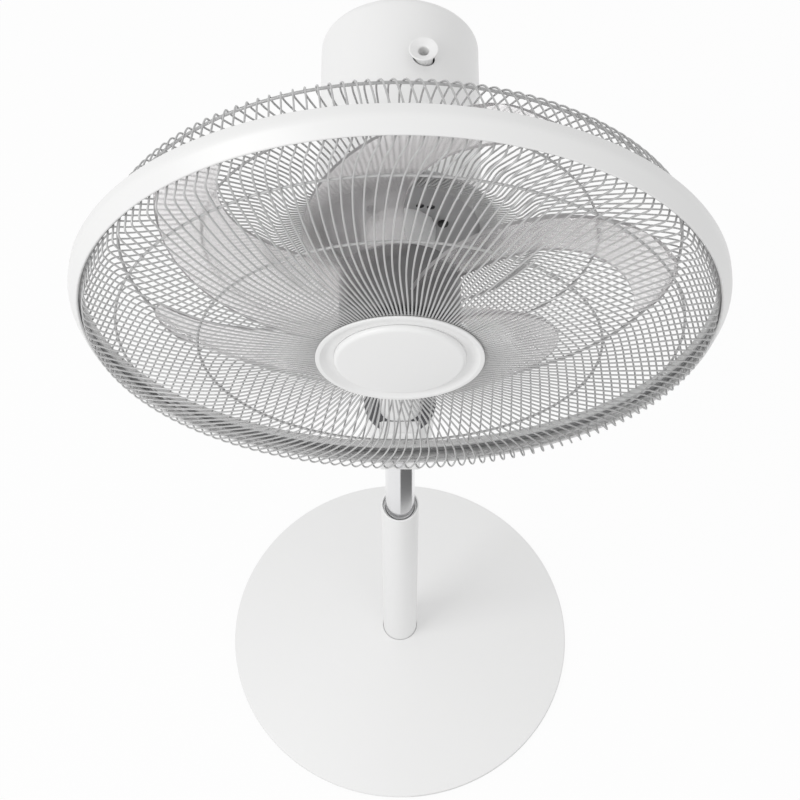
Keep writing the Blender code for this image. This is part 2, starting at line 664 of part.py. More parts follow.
def build_motor(iron, steel, head, rotor):
    """Motor ends, stator, rotor core and shaft, with the swing sleeve under them."""
    bore = SHAFT_RADIUS + GAP
    front = MOTOR_FRONT
    stator_front = front + MOTOR_END_THICKNESS + GAP
    stator_rear = stator_front + STATOR_LENGTH
    rear = stator_rear + GAP
    end_front = [
        (bore, SNOUT_FRONT), (SNOUT_RADIUS, SNOUT_FRONT), (SNOUT_RADIUS, HOUSING_FRONT),
        (SHOULDER_RADIUS, HOUSING_FRONT), (SHOULDER_RADIUS, front), (MOTOR_RADIUS, front, 0.001),
        (MOTOR_RADIUS, front + MOTOR_END_THICKNESS), (bore, front + MOTOR_END_THICKNESS),
    ]
    add_piece("motor_end_front", on_fan_axis(end_front, MEDIUM), steel, head)
    stator = [(STATOR_BORE, stator_front), (MOTOR_RADIUS, stator_front),
              (MOTOR_RADIUS, stator_rear), (STATOR_BORE, stator_rear)]
    add_piece("motor_stator", on_fan_axis(stator, MEDIUM), iron, head)
    end_rear = [(bore, rear), (MOTOR_RADIUS, rear), (MOTOR_RADIUS, rear + MOTOR_END_THICKNESS),
                (bore, rear + MOTOR_END_THICKNESS)]
    add_piece("motor_end_rear", on_fan_axis(end_rear, MEDIUM), steel, head)
    core_front = (stator_front + stator_rear - ROTOR_CORE_LENGTH) / 2.0
    core_rear = core_front + ROTOR_CORE_LENGTH
    core_radius = STATOR_BORE - 2.0 * GAP
    core = [(bore, core_front), (core_radius, core_front), (core_radius, core_rear),
            (bore, core_rear)]
    add_piece("motor_rotor", on_fan_axis(core, COARSE), iron, rotor)
    shaft = rod(SHAFT_RADIUS, SHAFT_FRONT, SHAFT_REAR, SMALL, "Y", (0.0, 0.0, FAN_HEIGHT))
    add_piece("motor_shaft", shaft, steel, rotor)

    sleeve_bore = SWING_POST_RADIUS + GAP
    sleeve_low = SWING_DISC_TOP + GAP
    sleeve = [
        (sleeve_bore, sleeve_low), (sleeve_bore + SLEEVE_WALL, sleeve_low),
        (sleeve_bore + SLEEVE_WALL, SLEEVE_TOP), (0.0, SLEEVE_TOP),
        (0.0, SWING_POST_TOP + GAP), (sleeve_bore, SWING_POST_TOP + GAP),
    ]
    add_piece("swing_sleeve", turned(sleeve, COARSE), steel, head)
    return rear + MOTOR_END_THICKNESS


def build_gearbox(dark, steel, white, motor_rear, head):
    """Gearbox behind the motor, its clutch knob, its crank and the capacitor."""
    front = motor_rear + GAP
    rear = front + GEARBOX_LENGTH
    low = FAN_HEIGHT - GEARBOX_HEIGHT / 2.0
    high = FAN_HEIGHT + GEARBOX_HEIGHT / 2.0
    box = block((-GEARBOX_WIDTH / 2.0, front, low), (GEARBOX_WIDTH / 2.0, rear, high), 0.002)
    gearbox = add_piece("gearbox", box, dark, head)
    shaft_hole = rod(SHAFT_RADIUS + GAP, front - 0.01, SHAFT_REAR + 0.002, SMALL, "Y",
                     (0.0, 0.0, FAN_HEIGHT))
    cut(gearbox, shaft_hole)
    knob_centre = (KNOB_X, KNOB_Y, 0.0)
    stem_low = KNOB_TOP - KNOB_STEM_LENGTH
    cut(gearbox, rod(KNOB_STEM_RADIUS + GAP, stem_low - KNOB_TRAVEL - 0.002, high + 0.01, SMALL,
                     centre=knob_centre))
    knob = turned([
        (0.0, stem_low), (KNOB_STEM_RADIUS, stem_low), (KNOB_STEM_RADIUS, high + KNOB_TRAVEL + 0.002),
        (KNOB_NECK_RADIUS, high + KNOB_TRAVEL + 0.005), (KNOB_NECK_RADIUS, KNOB_TOP - 0.0042),
        (KNOB_RADIUS, KNOB_TOP - 0.0012),
        (KNOB_RADIUS, KNOB_TOP, 0.0008), (KNOB_HOLE_RADIUS + 0.0028, KNOB_TOP),
        (KNOB_HOLE_RADIUS, KNOB_TOP - 0.003), (KNOB_HOLE_RADIUS, KNOB_TOP - KNOB_HOLE_DEPTH),
        (0.0, KNOB_TOP - KNOB_HOLE_DEPTH),
    ], COARSE, centre=knob_centre)
    add_piece("swing_knob", knob, white, pivot("knob_travel", (KNOB_X, KNOB_Y, KNOB_TOP), head))

    crank_axis = pivot("crank_axis", (0.0, KNOB_Y, low), head)
    crank_centre = (0.0, KNOB_Y, 0.0)
    cut(gearbox, rod(CRANK_STEM_RADIUS + GAP, low - 0.01, low + CRANK_STEM_LENGTH, SMALL,
                     centre=crank_centre))
    crank_top = low - GAP
    crank_low = crank_top - CRANK_THICKNESS
    crank = add_piece("swing_crank", turned([
        (0.0, crank_low), (CRANK_RADIUS, crank_low), (CRANK_RADIUS, crank_top),
        (CRANK_STEM_RADIUS, crank_top), (CRANK_STEM_RADIUS, low + CRANK_STEM_LENGTH - 0.001),
        (0.0, low + CRANK_STEM_LENGTH - 0.001),
    ], COARSE, centre=crank_centre), steel, crank_axis)
    join(crank, rod(CRANK_PIN_RADIUS, crank_low - 0.004, crank_low + 0.001, SMALL,
                    centre=(CRANK_PIN_OFFSET, KNOB_Y, 0.0)))

    width, length, height = CAPACITOR_SIZE
    capacitor = block((-width / 2.0, rear + GAP, FAN_HEIGHT - height / 2.0),
                      (width / 2.0, rear + GAP + length, FAN_HEIGHT + height / 2.0), 0.002)
    add_piece("run_capacitor", capacitor, dark, head)


def build_housing(white, grey, steel, head):
    """White cup over the motor with holes for the sleeve, knob and screws."""
    wall = HOUSING_WALL
    cup = [
        (0.0, HOUSING_REAR + HOUSING_CROWN), (HOUSING_RADIUS_REAR, HOUSING_REAR, HOUSING_FILLET),
        (HOUSING_RADIUS_FRONT, HOUSING_FRONT),
        (HOUSING_RADIUS_FRONT - wall, HOUSING_FRONT),
        (HOUSING_RADIUS_REAR - wall, HOUSING_REAR - wall, HOUSING_FILLET - wall),
        (0.0, HOUSING_REAR + HOUSING_CROWN - wall),
    ]
    housing = add_piece("motor_housing", on_fan_axis(cup, MEDIUM), white, head)
    sleeve = SWING_POST_RADIUS + GAP + SLEEVE_WALL
    cut(housing, rod(sleeve + 0.001, SWING_DISC_TOP, FAN_HEIGHT - 0.03, COARSE))
    cut(housing, rod(HOUSING_KNOB_HOLE, FAN_HEIGHT + 0.03, KNOB_TOP, COARSE,
                     centre=(KNOB_X, KNOB_Y, 0.0)))
    cut(housing, rod(SCREW_RADIUS + GAP, HOUSING_REAR - 0.01, HOUSING_REAR + 0.02, SMALL, "Y",
                     (0.0, 0.0, FAN_HEIGHT)))
    shroud_low = SWING_DISC_TOP + GAP
    shroud = add_piece("swing_shroud", turned([
        (SHROUD_RADIUS - SHROUD_WALL, shroud_low), (SHROUD_RADIUS, shroud_low),
        (SHROUD_RADIUS, FAN_HEIGHT - HOUSING_RADIUS_FRONT / 2.0),
        (SHROUD_RADIUS - SHROUD_WALL, FAN_HEIGHT - HOUSING_RADIUS_FRONT / 2.0),
    ], MEDIUM), white, head)
    cut(shroud, rod(HOUSING_RADIUS_FRONT + GAP, -0.1, 0.1, 4 * COARSE, "Y", (0.0, 0.0, FAN_HEIGHT)))
    add_piece("housing_screw", screw(HOUSING_REAR + HOUSING_CROWN + GAP, 1.0, HOUSING_SCREW_LENGTH,
                                     (0.0, 0.0, FAN_HEIGHT)), steel, head)

    bore = SNOUT_RADIUS + GAP
    cover_rear = HOUSING_FRONT - GAP
    cover_front = cover_rear - FRONT_COVER_THICKNESS
    cover = add_piece("housing_front_cover", on_fan_axis([
        (bore, cover_front), (HOUSING_RADIUS_FRONT, cover_front),
        (HOUSING_RADIUS_FRONT, cover_rear), (bore, cover_rear),
    ], MEDIUM), white, head)
    plate_rear = cover_front - GAP
    plate_front = plate_rear - MOUNT_PLATE_THICKNESS
    plate = add_piece("grille_mount_plate", on_fan_axis([
        (bore, plate_front), (MOUNT_PLATE_RADIUS, plate_front, 0.001),
        (MOUNT_PLATE_RADIUS, plate_rear), (bore, plate_rear),
    ], MEDIUM), grey, head)
    for index, angle in enumerate(PLATE_SCREW_ANGLES):
        turn = math.radians(angle)
        centre = (PLATE_SCREW_CIRCLE * math.sin(turn), 0.0,
                  FAN_HEIGHT + PLATE_SCREW_CIRCLE * math.cos(turn))
        for piece in (cover, plate):
            cut(piece, rod(SCREW_RADIUS + GAP, -0.08, -0.04, SMALL, "Y", centre))
        plate_screw = screw(plate_front - GAP, -1.0, PLATE_SCREW_LENGTH, centre)
        add_piece(f"plate_screw_{index + 1}", plate_screw, steel, head)
    nut_rear = plate_front - GAP
    nut_front = nut_rear - LOCK_NUT_LENGTH
    add_piece("grille_lock_nut", on_fan_axis([
        (bore, nut_front), (LOCK_NUT_RADIUS - LOCK_NUT_TAPER, nut_front, 0.0012),
        (LOCK_NUT_RADIUS, nut_rear - LOCK_NUT_FLANGE), (LOCK_NUT_RADIUS, nut_rear), (bore, nut_rear),
    ], MEDIUM), grey, head)


def screw(seat, outward, length, centre):
    """Pan head screw along Y whose head sits at a seat and faces outward (+1 or -1)."""
    head_end = seat + outward * SCREW_HEAD_HEIGHT
    tip = seat - outward * length
    return turned([
        (0.0, tip), (SCREW_RADIUS, tip), (SCREW_RADIUS, seat), (SCREW_HEAD_RADIUS, seat),
        (SCREW_HEAD_RADIUS, head_end, 0.0008), (0.0, head_end),
    ], SMALL, "Y", centre)


def polar_point(radius, y, turn):
    """World point at a radius and clockwise turn from the top, seen from the front."""
    return Vector((radius * math.sin(turn), y, FAN_HEIGHT + radius * math.cos(turn)))


def wire_section(radius, y, turn, direction):
    """Four corners of a square wire where it passes a point of its path."""
    middle = polar_point(radius, y, turn)
    outward = Vector((math.sin(turn), 0.0, math.cos(turn)))
    sideways = Vector((math.cos(turn), 0.0, -math.sin(turn)))
    along = Vector(direction).normalized()
    normal = outward * -along.y + Vector((0.0, along.x, 0.0))
    return [middle + WIRE_HALF * (s * sideways + n * normal)
            for s, n in ((-1, -1), (1, -1), (1, 1), (-1, 1))]


def tube_faces(shape, rings):
    """Side faces of a square tube through rings of four vertices."""
    for near, far in zip(rings, rings[1:]):
        for index in range(4):
            after = (index + 1) % 4
            shape.faces.new((near[index], near[after], far[after], far[index]))


def grille_mesh(ring_places, between):
    """Wire cage: hoops whose inner and outer faces open into the wires between them.

    ring_places holds (radius, y, turn) for each hoop, and between holds, for each pair
    of hoops, the (radius, y, turn) points that the wires pass on the way.
    """
    shape = bmesh.new()
    pitch = math.tau / WIRE_COUNT
    ports = []
    for ring_index, (radius, y, turn) in enumerate(ring_places):
        spread = WIRE_HALF / radius
        corners = []
        for wire in range(WIRE_COUNT):
            for side in (-spread, spread):
                angle = turn + wire * pitch + side
                corners.append([shape.verts.new(polar_point(radius + r, y + a, angle))
                                for r, a in ((-WIRE_HALF, -WIRE_HALF), (-WIRE_HALF, WIRE_HALF),
                                             (WIRE_HALF, WIRE_HALF), (WIRE_HALF, -WIRE_HALF))])
        count = len(corners)
        inner_ports = []
        outer_ports = []
        for index in range(count):
            here = corners[index]
            after = corners[(index + 1) % count]
            at_wire = index % 2 == 0
            for face in range(4):
                inward_open = at_wire and face == 0 and ring_index > 0
                outward_open = at_wire and face == 2 and ring_index < len(ring_places) - 1
                if inward_open or outward_open:
                    continue
                other = (face + 1) % 4
                shape.faces.new((here[face], here[other], after[other], after[face]))
            if at_wire:
                inner_ports.append([here[0], after[0], after[1], here[1]])
                outer_ports.append([here[3], after[3], after[2], here[2]])
        ports.append((inner_ports, outer_ports))
    for index, points in enumerate(between):
        path = [ring_places[index], *points, ring_places[index + 1]]
        for wire in range(WIRE_COUNT):
            rings = [ports[index][1][wire]]
            for step in range(1, len(path) - 1):
                radius, y, turn = path[step]
                direction = (path[step + 1][0] - path[step - 1][0],
                             path[step + 1][1] - path[step - 1][1], 0.0)
                section = wire_section(radius, y, turn + wire * pitch, direction)
                rings.append([shape.verts.new(point) for point in section])
            rings.append(ports[index + 1][0][wire])
            tube_faces(shape, rings)
    return shape


def wire_turn(radius, start, end, lean, bow):
    """Turn of a wire at a radius: a lean that grows outwards and a bow in between."""
    share = (radius - start) / (end - start)
    return math.radians(lean * share ** 2 + bow * math.sin(math.pi * share))


def build_grilles(wire_metal, head):
    """Front and rear wire grilles with their hoops and bent outer shoulders."""
    for name, hoops, shoulders, lean, bow in (
        ("front_grille", FRONT_HOOPS, FRONT_SHOULDERS, FRONT_LEAN, FRONT_BOW),
        ("rear_grille", REAR_HOOPS, REAR_SHOULDERS, REAR_LEAN, REAR_BOW),
    ):
        start = hoops[0][0]
        end = hoops[-1][0]
        places = [(radius, y, wire_turn(radius, start, end, lean, bow) + math.radians(extra))
                  for radius, y, extra in hoops]
        between = []
        for low, high in zip(hoops[:-2], hoops[1:-1]):
            radius = (low[0] + high[0]) / 2.0
            between.append([(radius, (low[1] + high[1]) / 2.0, wire_turn(radius, start, end, lean, bow))])
        between.append([(radius, y, wire_turn(min(radius, end), start, end, lean, bow) + math.radians(extra))
                        for radius, y, extra in shoulders])
        add_piece(name, grille_mesh(places, between), wire_metal, head)


def build_guard(white, dark, head):
    """White outer band and the ring inside it that holds the rear wires."""
    wall = BAND_WALL
    add_piece("guard_band", on_fan_axis([
        (BAND_RADIUS_REAR, BAND_REAR), (BAND_RADIUS_REAR, BAND_REAR - 0.008, 0.010),
        (BAND_RADIUS_FRONT, BAND_FRONT, 0.0012), (BAND_RADIUS_FRONT - wall, BAND_FRONT),
        (BAND_RADIUS_REAR - wall, BAND_REAR - 0.0085), (BAND_RADIUS_REAR - wall, BAND_REAR),
    ], FINE), white, head)
    outside = BAND_RADIUS_REAR - wall - GAP
    inside = outside - INNER_RING_WALL
    add_piece("guard_inner_ring", on_fan_axis([
        (inside, BAND_REAR), (outside, BAND_REAR), (outside, BAND_REAR - INNER_RING_LENGTH),
        (inside, BAND_REAR - INNER_RING_LENGTH),
    ], FINE), dark, head)


def build_cap(white, plastic, head):
    """Centre cap, its raised disc and the plate that clamps them to the front wires."""
    inner = CAP_DISC_RADIUS + GAP
    floor = CAP_BACK - CAP_FLOOR
    add_piece("centre_cap", on_fan_axis([
        (0.0, CAP_BACK), (CAP_SPIGOT_RADIUS, CAP_BACK), (CAP_SPIGOT_RADIUS, CAP_SEAT),
        (CAP_RADIUS, CAP_SEAT), (CAP_RADIUS, CAP_FRONT, 0.0006),
        (CAP_RADIUS - CAP_RIM_WIDTH, CAP_FRONT, 0.0008),
        (CAP_RADIUS - CAP_RIM_WIDTH - CAP_RECESS_WIDTH, CAP_FRONT + CAP_RECESS_DEPTH, 0.004),
        (inner, CAP_FRONT + CAP_STEP_DEPTH), (inner, floor), (0.0, floor),
    ], MEDIUM), white, head)
    add_piece("cap_disc", on_fan_axis([
        (0.0, floor - GAP), (CAP_DISC_RADIUS, floor - GAP),
        (CAP_DISC_RADIUS, CAP_DISC_FRONT, 0.002), (0.0, CAP_DISC_FRONT),
    ], MEDIUM), white, head)
    plate_front = CAP_BACK + GAP
    plate_radius = FRONT_HOOPS[0][0] + WIRE_HALF
    add_piece("cap_back_plate", on_fan_axis([
        (0.0, plate_front), (plate_radius, plate_front),
        (plate_radius, plate_front + BACK_PLATE_THICKNESS),
        (0.0, plate_front + BACK_PLATE_THICKNESS),
    ], MEDIUM), plastic, head)


def power_sum(factors, share):
    """Sum of factors times rising powers of a share."""
    return sum(factor * share ** power for power, factor in enumerate(factors))


def blade_point(share, across):
    """Radius, y and turn of the blade's middle surface, from the leading to the trailing edge."""
    root = HUB_RADIUS - HUB_WALL / 2.0
    tip = BLADE_TIP_RADIUS - LEADING_TIP_INSET * (1.0 - across)
    drop = TIP_ROUND * share ** 6 * (2.0 * across - 1.0) ** 4
    radius = root + (tip - root) * share - drop
    depth = power_sum(LEADING_DEPTH, share) * (1.0 - across) + power_sum(TRAILING_DEPTH, share) * across
    camber = BLADE_CAMBER * (1.0 - share) * math.sin(math.pi * across)
    turn = power_sum(LEADING_TURN, share) * (1.0 - across) + power_sum(TRAILING_TURN, share) * across
    return radius, HUB_FRONT + depth + camber, math.radians(turn)


def blade_shape(turn):
    """One swept blade with a round tip, its root buried in the hub wall."""
    shape = bmesh.new()
    faces = []
    for side in (-1.0, 1.0):
        grid = []
        for span in range(BLADE_SPAN_STEPS + 1):
            row = []
            for chord in range(BLADE_CHORD_STEPS + 1):
                across = chord / BLADE_CHORD_STEPS
                radius, y, angle = blade_point(span / BLADE_SPAN_STEPS, across)
                thickness = BLADE_THICKNESS * (0.45 + 0.55 * math.sin(math.pi * across))
                row.append(shape.verts.new(polar_point(radius, y + side * thickness / 2.0, turn + angle)))
            grid.append(row)
        faces.append(grid)
    for grid in faces:
        for low, high in zip(grid, grid[1:]):
            for index in range(BLADE_CHORD_STEPS):
                shape.faces.new((low[index], low[index + 1], high[index + 1], high[index]))
    front, rear = faces
    rim = [(0, chord) for chord in range(BLADE_CHORD_STEPS)]
    rim += [(span, BLADE_CHORD_STEPS) for span in range(BLADE_SPAN_STEPS)]
    rim += [(BLADE_SPAN_STEPS, chord) for chord in range(BLADE_CHORD_STEPS, 0, -1)]
    rim += [(span, 0) for span in range(BLADE_SPAN_STEPS, 0, -1)]
    for (row, column), (next_row, next_column) in zip(rim, rim[1:] + rim[:1]):
        shape.faces.new((front[row][column], front[next_row][next_column],
                         rear[next_row][next_column], rear[row][column]))
    return shape


def build_fan(frosted, dark, rotor):
    """Hub with its blades as one moulding, and the nut that holds it on the shaft."""
    bore = SHAFT_RADIUS + GAP
    wall = HUB_WALL
    hub = [
        (bore, HUB_FRONT), (HUB_RADIUS, HUB_FRONT, 0.006), (HUB_RADIUS, HUB_REAR),
        (HUB_RADIUS - wall, HUB_REAR), (HUB_RADIUS - wall, HUB_FRONT + wall),
        (HUB_BOSS_RADIUS, HUB_FRONT + wall), (HUB_BOSS_RADIUS, HUB_FRONT + HUB_BOSS_LENGTH),
        (bore, HUB_FRONT + HUB_BOSS_LENGTH),
    ]
    blades = add_piece("fan_blades", on_fan_axis(hub, MEDIUM), frosted, rotor)
    for index in range(BLADE_COUNT):
        join(blades, blade_shape(math.tau * index / BLADE_COUNT))
    nut_rear = HUB_FRONT - GAP
    add_piece("blade_nut", on_fan_axis([
        (0.0, nut_rear - NUT_LENGTH), (NUT_RADIUS - 0.003, nut_rear - NUT_LENGTH, 0.001),
        (NUT_RADIUS, nut_rear - 0.002), (NUT_RADIUS, nut_rear), (bore, nut_rear),
        (bore, SHAFT_FRONT - GAP), (0.0, SHAFT_FRONT - GAP),
    ], COARSE), dark, rotor)


def main():
    """Clear the scene and build the fan from the floor up."""
    for obj in list(bpy.data.objects):
        bpy.data.objects.remove(obj)

    white = finish("white_plastic", (0.86, 0.86, 0.86), 0.45)
    dark = finish("dark_grey_plastic", (0.10, 0.10, 0.11), 0.5)
    grey = finish("grey_plastic", (0.33, 0.33, 0.34), 0.5)
    frosted = finish("frosted_plastic", (0.80, 0.81, 0.82), 0.35)
    chrome = finish("chrome", (0.80, 0.80, 0.80), 0.12, 1.0)
    steel = finish("zinc_steel", (0.60, 0.60, 0.60), 0.35, 1.0)
    iron = finish("cast_iron", (0.20, 0.20, 0.20), 0.6, 0.8)
    wire = finish("coated_wire", (0.62, 0.62, 0.62), 0.4, 0.3)
    rubber = finish("rubber", (0.05, 0.05, 0.05), 0.8)
    board = finish("circuit_board", (0.05, 0.25, 0.10), 0.6)

    root = pivot("base", (0.0, 0.0, 0.0))
    column = pivot("height_slide", (0.0, 0.0, OUTER_TUBE_TOP), root)
    tilt = pivot("tilt_axis", (0.0, 0.0, TILT_HEIGHT), column)
    head = pivot("swing_axis", (0.0, 0.0, SWING_DISC_TOP), tilt)
    rotor = pivot("fan_axis", (0.0, 0.0, FAN_HEIGHT), head)

    tube_seat = build_base(white, steel, iron, rubber, root)
    build_outer_tube(white, steel, tube_seat, root)
    build_inner_tube(chrome, dark, column)
    pod_height = build_pod(white, dark, board, rubber, column)
    build_neck(white, steel, dark, pod_height, column)
    build_tilt_bracket(steel, tilt)
    motor_rear = build_motor(iron, steel, head, rotor)
    build_gearbox(dark, steel, white, motor_rear, head)
    build_housing(white, grey, steel, head)
    build_grilles(wire, head)
    build_guard(white, dark, head)
    build_cap(white, dark, head)
    build_fan(frosted, grey, rotor)


main()
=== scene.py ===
"""Looks of a white pedestal fan with a caged five-blade head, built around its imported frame.

Metres, +Z up, the fan blowing towards -Y. Angles on the head are clockwise from the top, seen
from the front. Each sub-assembly is a class whose fields are its sizes.
"""

import logging
import math
from collections.abc import Sequence
from dataclasses import dataclass
from enum import Enum

import bmesh
import bpy
from mathutils import Matrix, Vector


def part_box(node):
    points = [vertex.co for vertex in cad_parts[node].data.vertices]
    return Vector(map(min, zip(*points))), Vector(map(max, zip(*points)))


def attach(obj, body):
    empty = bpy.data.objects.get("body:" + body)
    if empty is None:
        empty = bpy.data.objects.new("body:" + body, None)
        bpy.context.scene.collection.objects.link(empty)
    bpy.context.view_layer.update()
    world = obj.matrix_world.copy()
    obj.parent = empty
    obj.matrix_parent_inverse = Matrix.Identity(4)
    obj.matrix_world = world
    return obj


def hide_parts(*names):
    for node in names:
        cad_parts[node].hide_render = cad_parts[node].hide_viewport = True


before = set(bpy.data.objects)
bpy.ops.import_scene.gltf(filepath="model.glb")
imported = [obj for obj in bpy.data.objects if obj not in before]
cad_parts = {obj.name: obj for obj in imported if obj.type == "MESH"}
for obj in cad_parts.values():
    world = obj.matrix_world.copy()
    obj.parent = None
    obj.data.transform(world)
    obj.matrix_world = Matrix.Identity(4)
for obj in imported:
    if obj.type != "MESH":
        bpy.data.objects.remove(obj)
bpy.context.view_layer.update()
LOG = logging.getLogger("fan")

FINE = 192
MEDIUM = 96
SMALL = 48
GAP = 0.0003


class Extent:
    """Box of one node of the frame, read as a turned piece."""

    def __init__(self, node: str) -> None:
        """Read the node's corners.

        Args:
            node: Name of a node in the frame.
        """
        self.low, self.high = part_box(node)

    @property
    def radius(self) -> float:
        """Half the width across X."""
        return (self.high.x - self.low.x) / 2.0

    @property
    def middle(self) -> Vector:
        """Centre of the box."""
        return (self.low + self.high) / 2.0


FAN_HEIGHT = Extent("motor_shaft").middle.z
FAN_CENTRE = (0.0, 0.0, FAN_HEIGHT)


class Axis(Enum):
    """Line that a turned piece is turned about."""

    POLE = "pole"
    FAN = "fan"
    TILT = "tilt"


def axis_matrix(axis: Axis, centre: Sequence[float]) -> Matrix:
    """Matrix that carries a shape turned about Z onto one of the fan's axes.

    Args:
        axis: The line to turn about.
        centre: A point on that line.

    Returns:
        The 4x4 matrix.
    """
    turns = {
        Axis.POLE: Matrix.Identity(4),
        Axis.FAN: Matrix.Rotation(-math.pi / 2.0, 4, "X"),
        Axis.TILT: Matrix.Rotation(math.pi / 2.0, 4, "Y"),
    }
    return Matrix.Translation(centre) @ turns[axis]


def arc_outline(corners: Sequence[tuple], steps: int = 6) -> list[Vector]:
    """Outline with rounded corners.

    Args:
        corners: Corners as (a, b) or (a, b, fillet radius).
        steps: Straight pieces in each fillet.

    Returns:
        The outline's points in order.
    """
    points: list[Vector] = []
    for index, corner in enumerate(corners):
        here = Vector(corner[:2])
        if len(corner) == 2:
            points.append(here)
            continue
        before = (Vector(corners[index - 1][:2]) - here).normalized()
        after = (Vector(corners[(index + 1) % len(corners)][:2]) - here).normalized()
        half = before.angle(after) / 2.0
        reach = corner[2] / math.tan(half)
        centre = here + (before + after).normalized() * corner[2] / math.sin(half)
        start = here + before * reach - centre
        sweep = start.angle_signed(here + after * reach - centre)
        for step in range(steps + 1):
            points.append(centre + Matrix.Rotation(-sweep * step / steps, 2) @ start)
    return points


def lathe(
    corners: Sequence[tuple],
    segments: int = MEDIUM,
    axis: Axis = Axis.POLE,
    centre: Sequence[float] = (0.0, 0.0, 0.0),
    sweep: float = math.tau,
    start: float = 0.0,
    steps: int = 6,
) -> bmesh.types.BMesh:
    """Closed solid turned from an outline.

    Args:
        corners: Closed outline of (radius, height) or (radius, height, fillet).
        segments: Facets round the turn.
        axis: Line to turn about.
        centre: Point on that line.
        sweep: Angle turned through.
        start: Angle of the first section about Z.
        steps: Straight pieces in each fillet.

    Returns:
        The shape.
    """
    shape = bmesh.new()
    verts = [shape.verts.new((p.x, 0.0, p.y)) for p in arc_outline(corners, steps)]
    edges = []
    for index, vert in enumerate(verts):
        other = verts[(index + 1) % len(verts)]
        if max(vert.co.x, other.co.x) > 1e-7:
            edges.append(shape.edges.new((vert, other)))
    bmesh.ops.rotate(shape, verts=verts, matrix=Matrix.Rotation(start, 3, "Z"))
    whole = math.isclose(sweep, math.tau)
    bmesh.ops.spin(shape, geom=verts + edges, axis=(0.0, 0.0, 1.0), cent=(0.0, 0.0, 0.0),
                   angle=sweep, steps=segments, use_merge=whole)
    bmesh.ops.remove_doubles(shape, verts=shape.verts, dist=1e-6)
    if not whole:
        bmesh.ops.holes_fill(shape, edges=[edge for edge in shape.edges if edge.is_boundary])
    shape.transform(axis_matrix(axis, centre))
    return shape


def fan_lathe(corners: Sequence[tuple], segments: int = MEDIUM, steps: int = 6) -> bmesh.types.BMesh:
    """Solid turned about the fan's axis from (radius, y) corners.

    Args:
        corners: Closed outline of (radius, y) or (radius, y, fillet).
        segments: Facets round the turn.
        steps: Straight pieces in each fillet.

    Returns:
        The shape.
    """
    return lathe(corners, segments, Axis.FAN, FAN_CENTRE, steps=steps)


def cylinder(
    radius: float,
    low: float,
    high: float,
    axis: Axis = Axis.FAN,
    centre: Sequence[float] = FAN_CENTRE,
    segments: int = SMALL,
) -> bmesh.types.BMesh:
    """Plain cylinder, as a tool to cut with.

    Args:
        radius: Its radius.
        low: Where it starts along the axis.
        high: Where it ends.
        axis: Line that it lies along.
        centre: Point on that line.
        segments: Facets round it.

    Returns:
        The shape.
    """
    return lathe([(0.0, low), (radius, low), (radius, high), (0.0, high)], segments, axis, centre)


def block(low: Sequence[float], high: Sequence[float], bevel: float, segments: int = 4) -> bmesh.types.BMesh:
    """Box with rounded edges.

    Args:
        low: Lowest corner.
        high: Highest corner.
        bevel: Radius of its edges.
        segments: Facets of each rounded edge.

    Returns:
        The shape.
    """
    shape = bmesh.new()
    bmesh.ops.create_cube(shape, size=1.0)
    size = Vector(high) - Vector(low)
    middle = (Vector(high) + Vector(low)) / 2.0
    shape.transform(Matrix.Translation(middle) @ Matrix.Diagonal((*size, 1.0)))
    bmesh.ops.bevel(shape, geom=shape.edges[:], offset=bevel, segments=segments, affect="EDGES",
                    profile=0.5, material=-1)
    return shape


def mesh_from(name: str, shape: bmesh.types.BMesh) -> bpy.types.Mesh:
    """Turn a shape into a mesh.

    Args:
        name: The mesh's name.
        shape: The shape, which is freed.

    Returns:
        The mesh.
    """
    mesh = bpy.data.meshes.new(name)
    shape.to_mesh(mesh)
    shape.free()
    return mesh


def put_in_scene(name: str, data: bpy.types.ID) -> bpy.types.Object:
    """Make an object and link it to the scene.

    Args:
        name: The object's name.
        data: Its mesh, camera or light.

    Returns:
        The object.
    """
    obj = bpy.data.objects.new(name, data)
    bpy.context.scene.collection.objects.link(obj)
    return obj


def absorb(shape: bmesh.types.BMesh, other: bmesh.types.BMesh) -> None:
    """Copy another shape into a shape and free it.

    Args:
        shape: The shape that grows.
        other: The shape that is used up.
    """
    mesh = mesh_from("part", other)
    shape.from_mesh(mesh)
    bpy.data.meshes.remove(mesh)


def sweep(shape: bmesh.types.BMesh, path: Sequence[Vector], radius: float, sides: int) -> list:
    """Round bar drawn along a path, with closed ends.

    Args:
        shape: The shape that the bar is added to.
        path: Points of its centre line.
        radius: Radius of the bar.
        sides: Facets round it.

    Returns:
        The bar's vertices.
    """
    tangents = [(path[min(i + 1, len(path) - 1)] - path[max(i - 1, 0)]).normalized()
                for i in range(len(path))]
    turn = tangents[0].to_track_quat("Z", "Y").to_matrix()
    place = Matrix.Translation(path[0]) @ turn.to_4x4()
    ring = bmesh.ops.create_circle(shape, cap_ends=False, segments=sides, radius=radius,
                                   matrix=place)["verts"]
    made = list(ring)
    edges = list({edge for vert in ring for edge in vert.link_edges})
    first = edges
    for index in range(1, len(path)):
        grown = bmesh.ops.extrude_edge_only(shape, edges=edges)["geom"]
        ring = [item for item in grown if isinstance(item, bmesh.types.BMVert)]
        edges = [item for item in grown if isinstance(item, bmesh.types.BMEdge)
                 and all(vert in ring for vert in item.verts)]
        bend = tangents[index - 1].rotation_difference(tangents[index]).to_matrix().to_4x4()
        move = Matrix.Translation(path[index]) @ bend @ Matrix.Translation(-path[index - 1])
        bmesh.ops.transform(shape, matrix=move, verts=ring)
        made += ring
    bmesh.ops.edgeloop_fill(shape, edges=first)
    bmesh.ops.edgeloop_fill(shape, edges=edges)
    return made


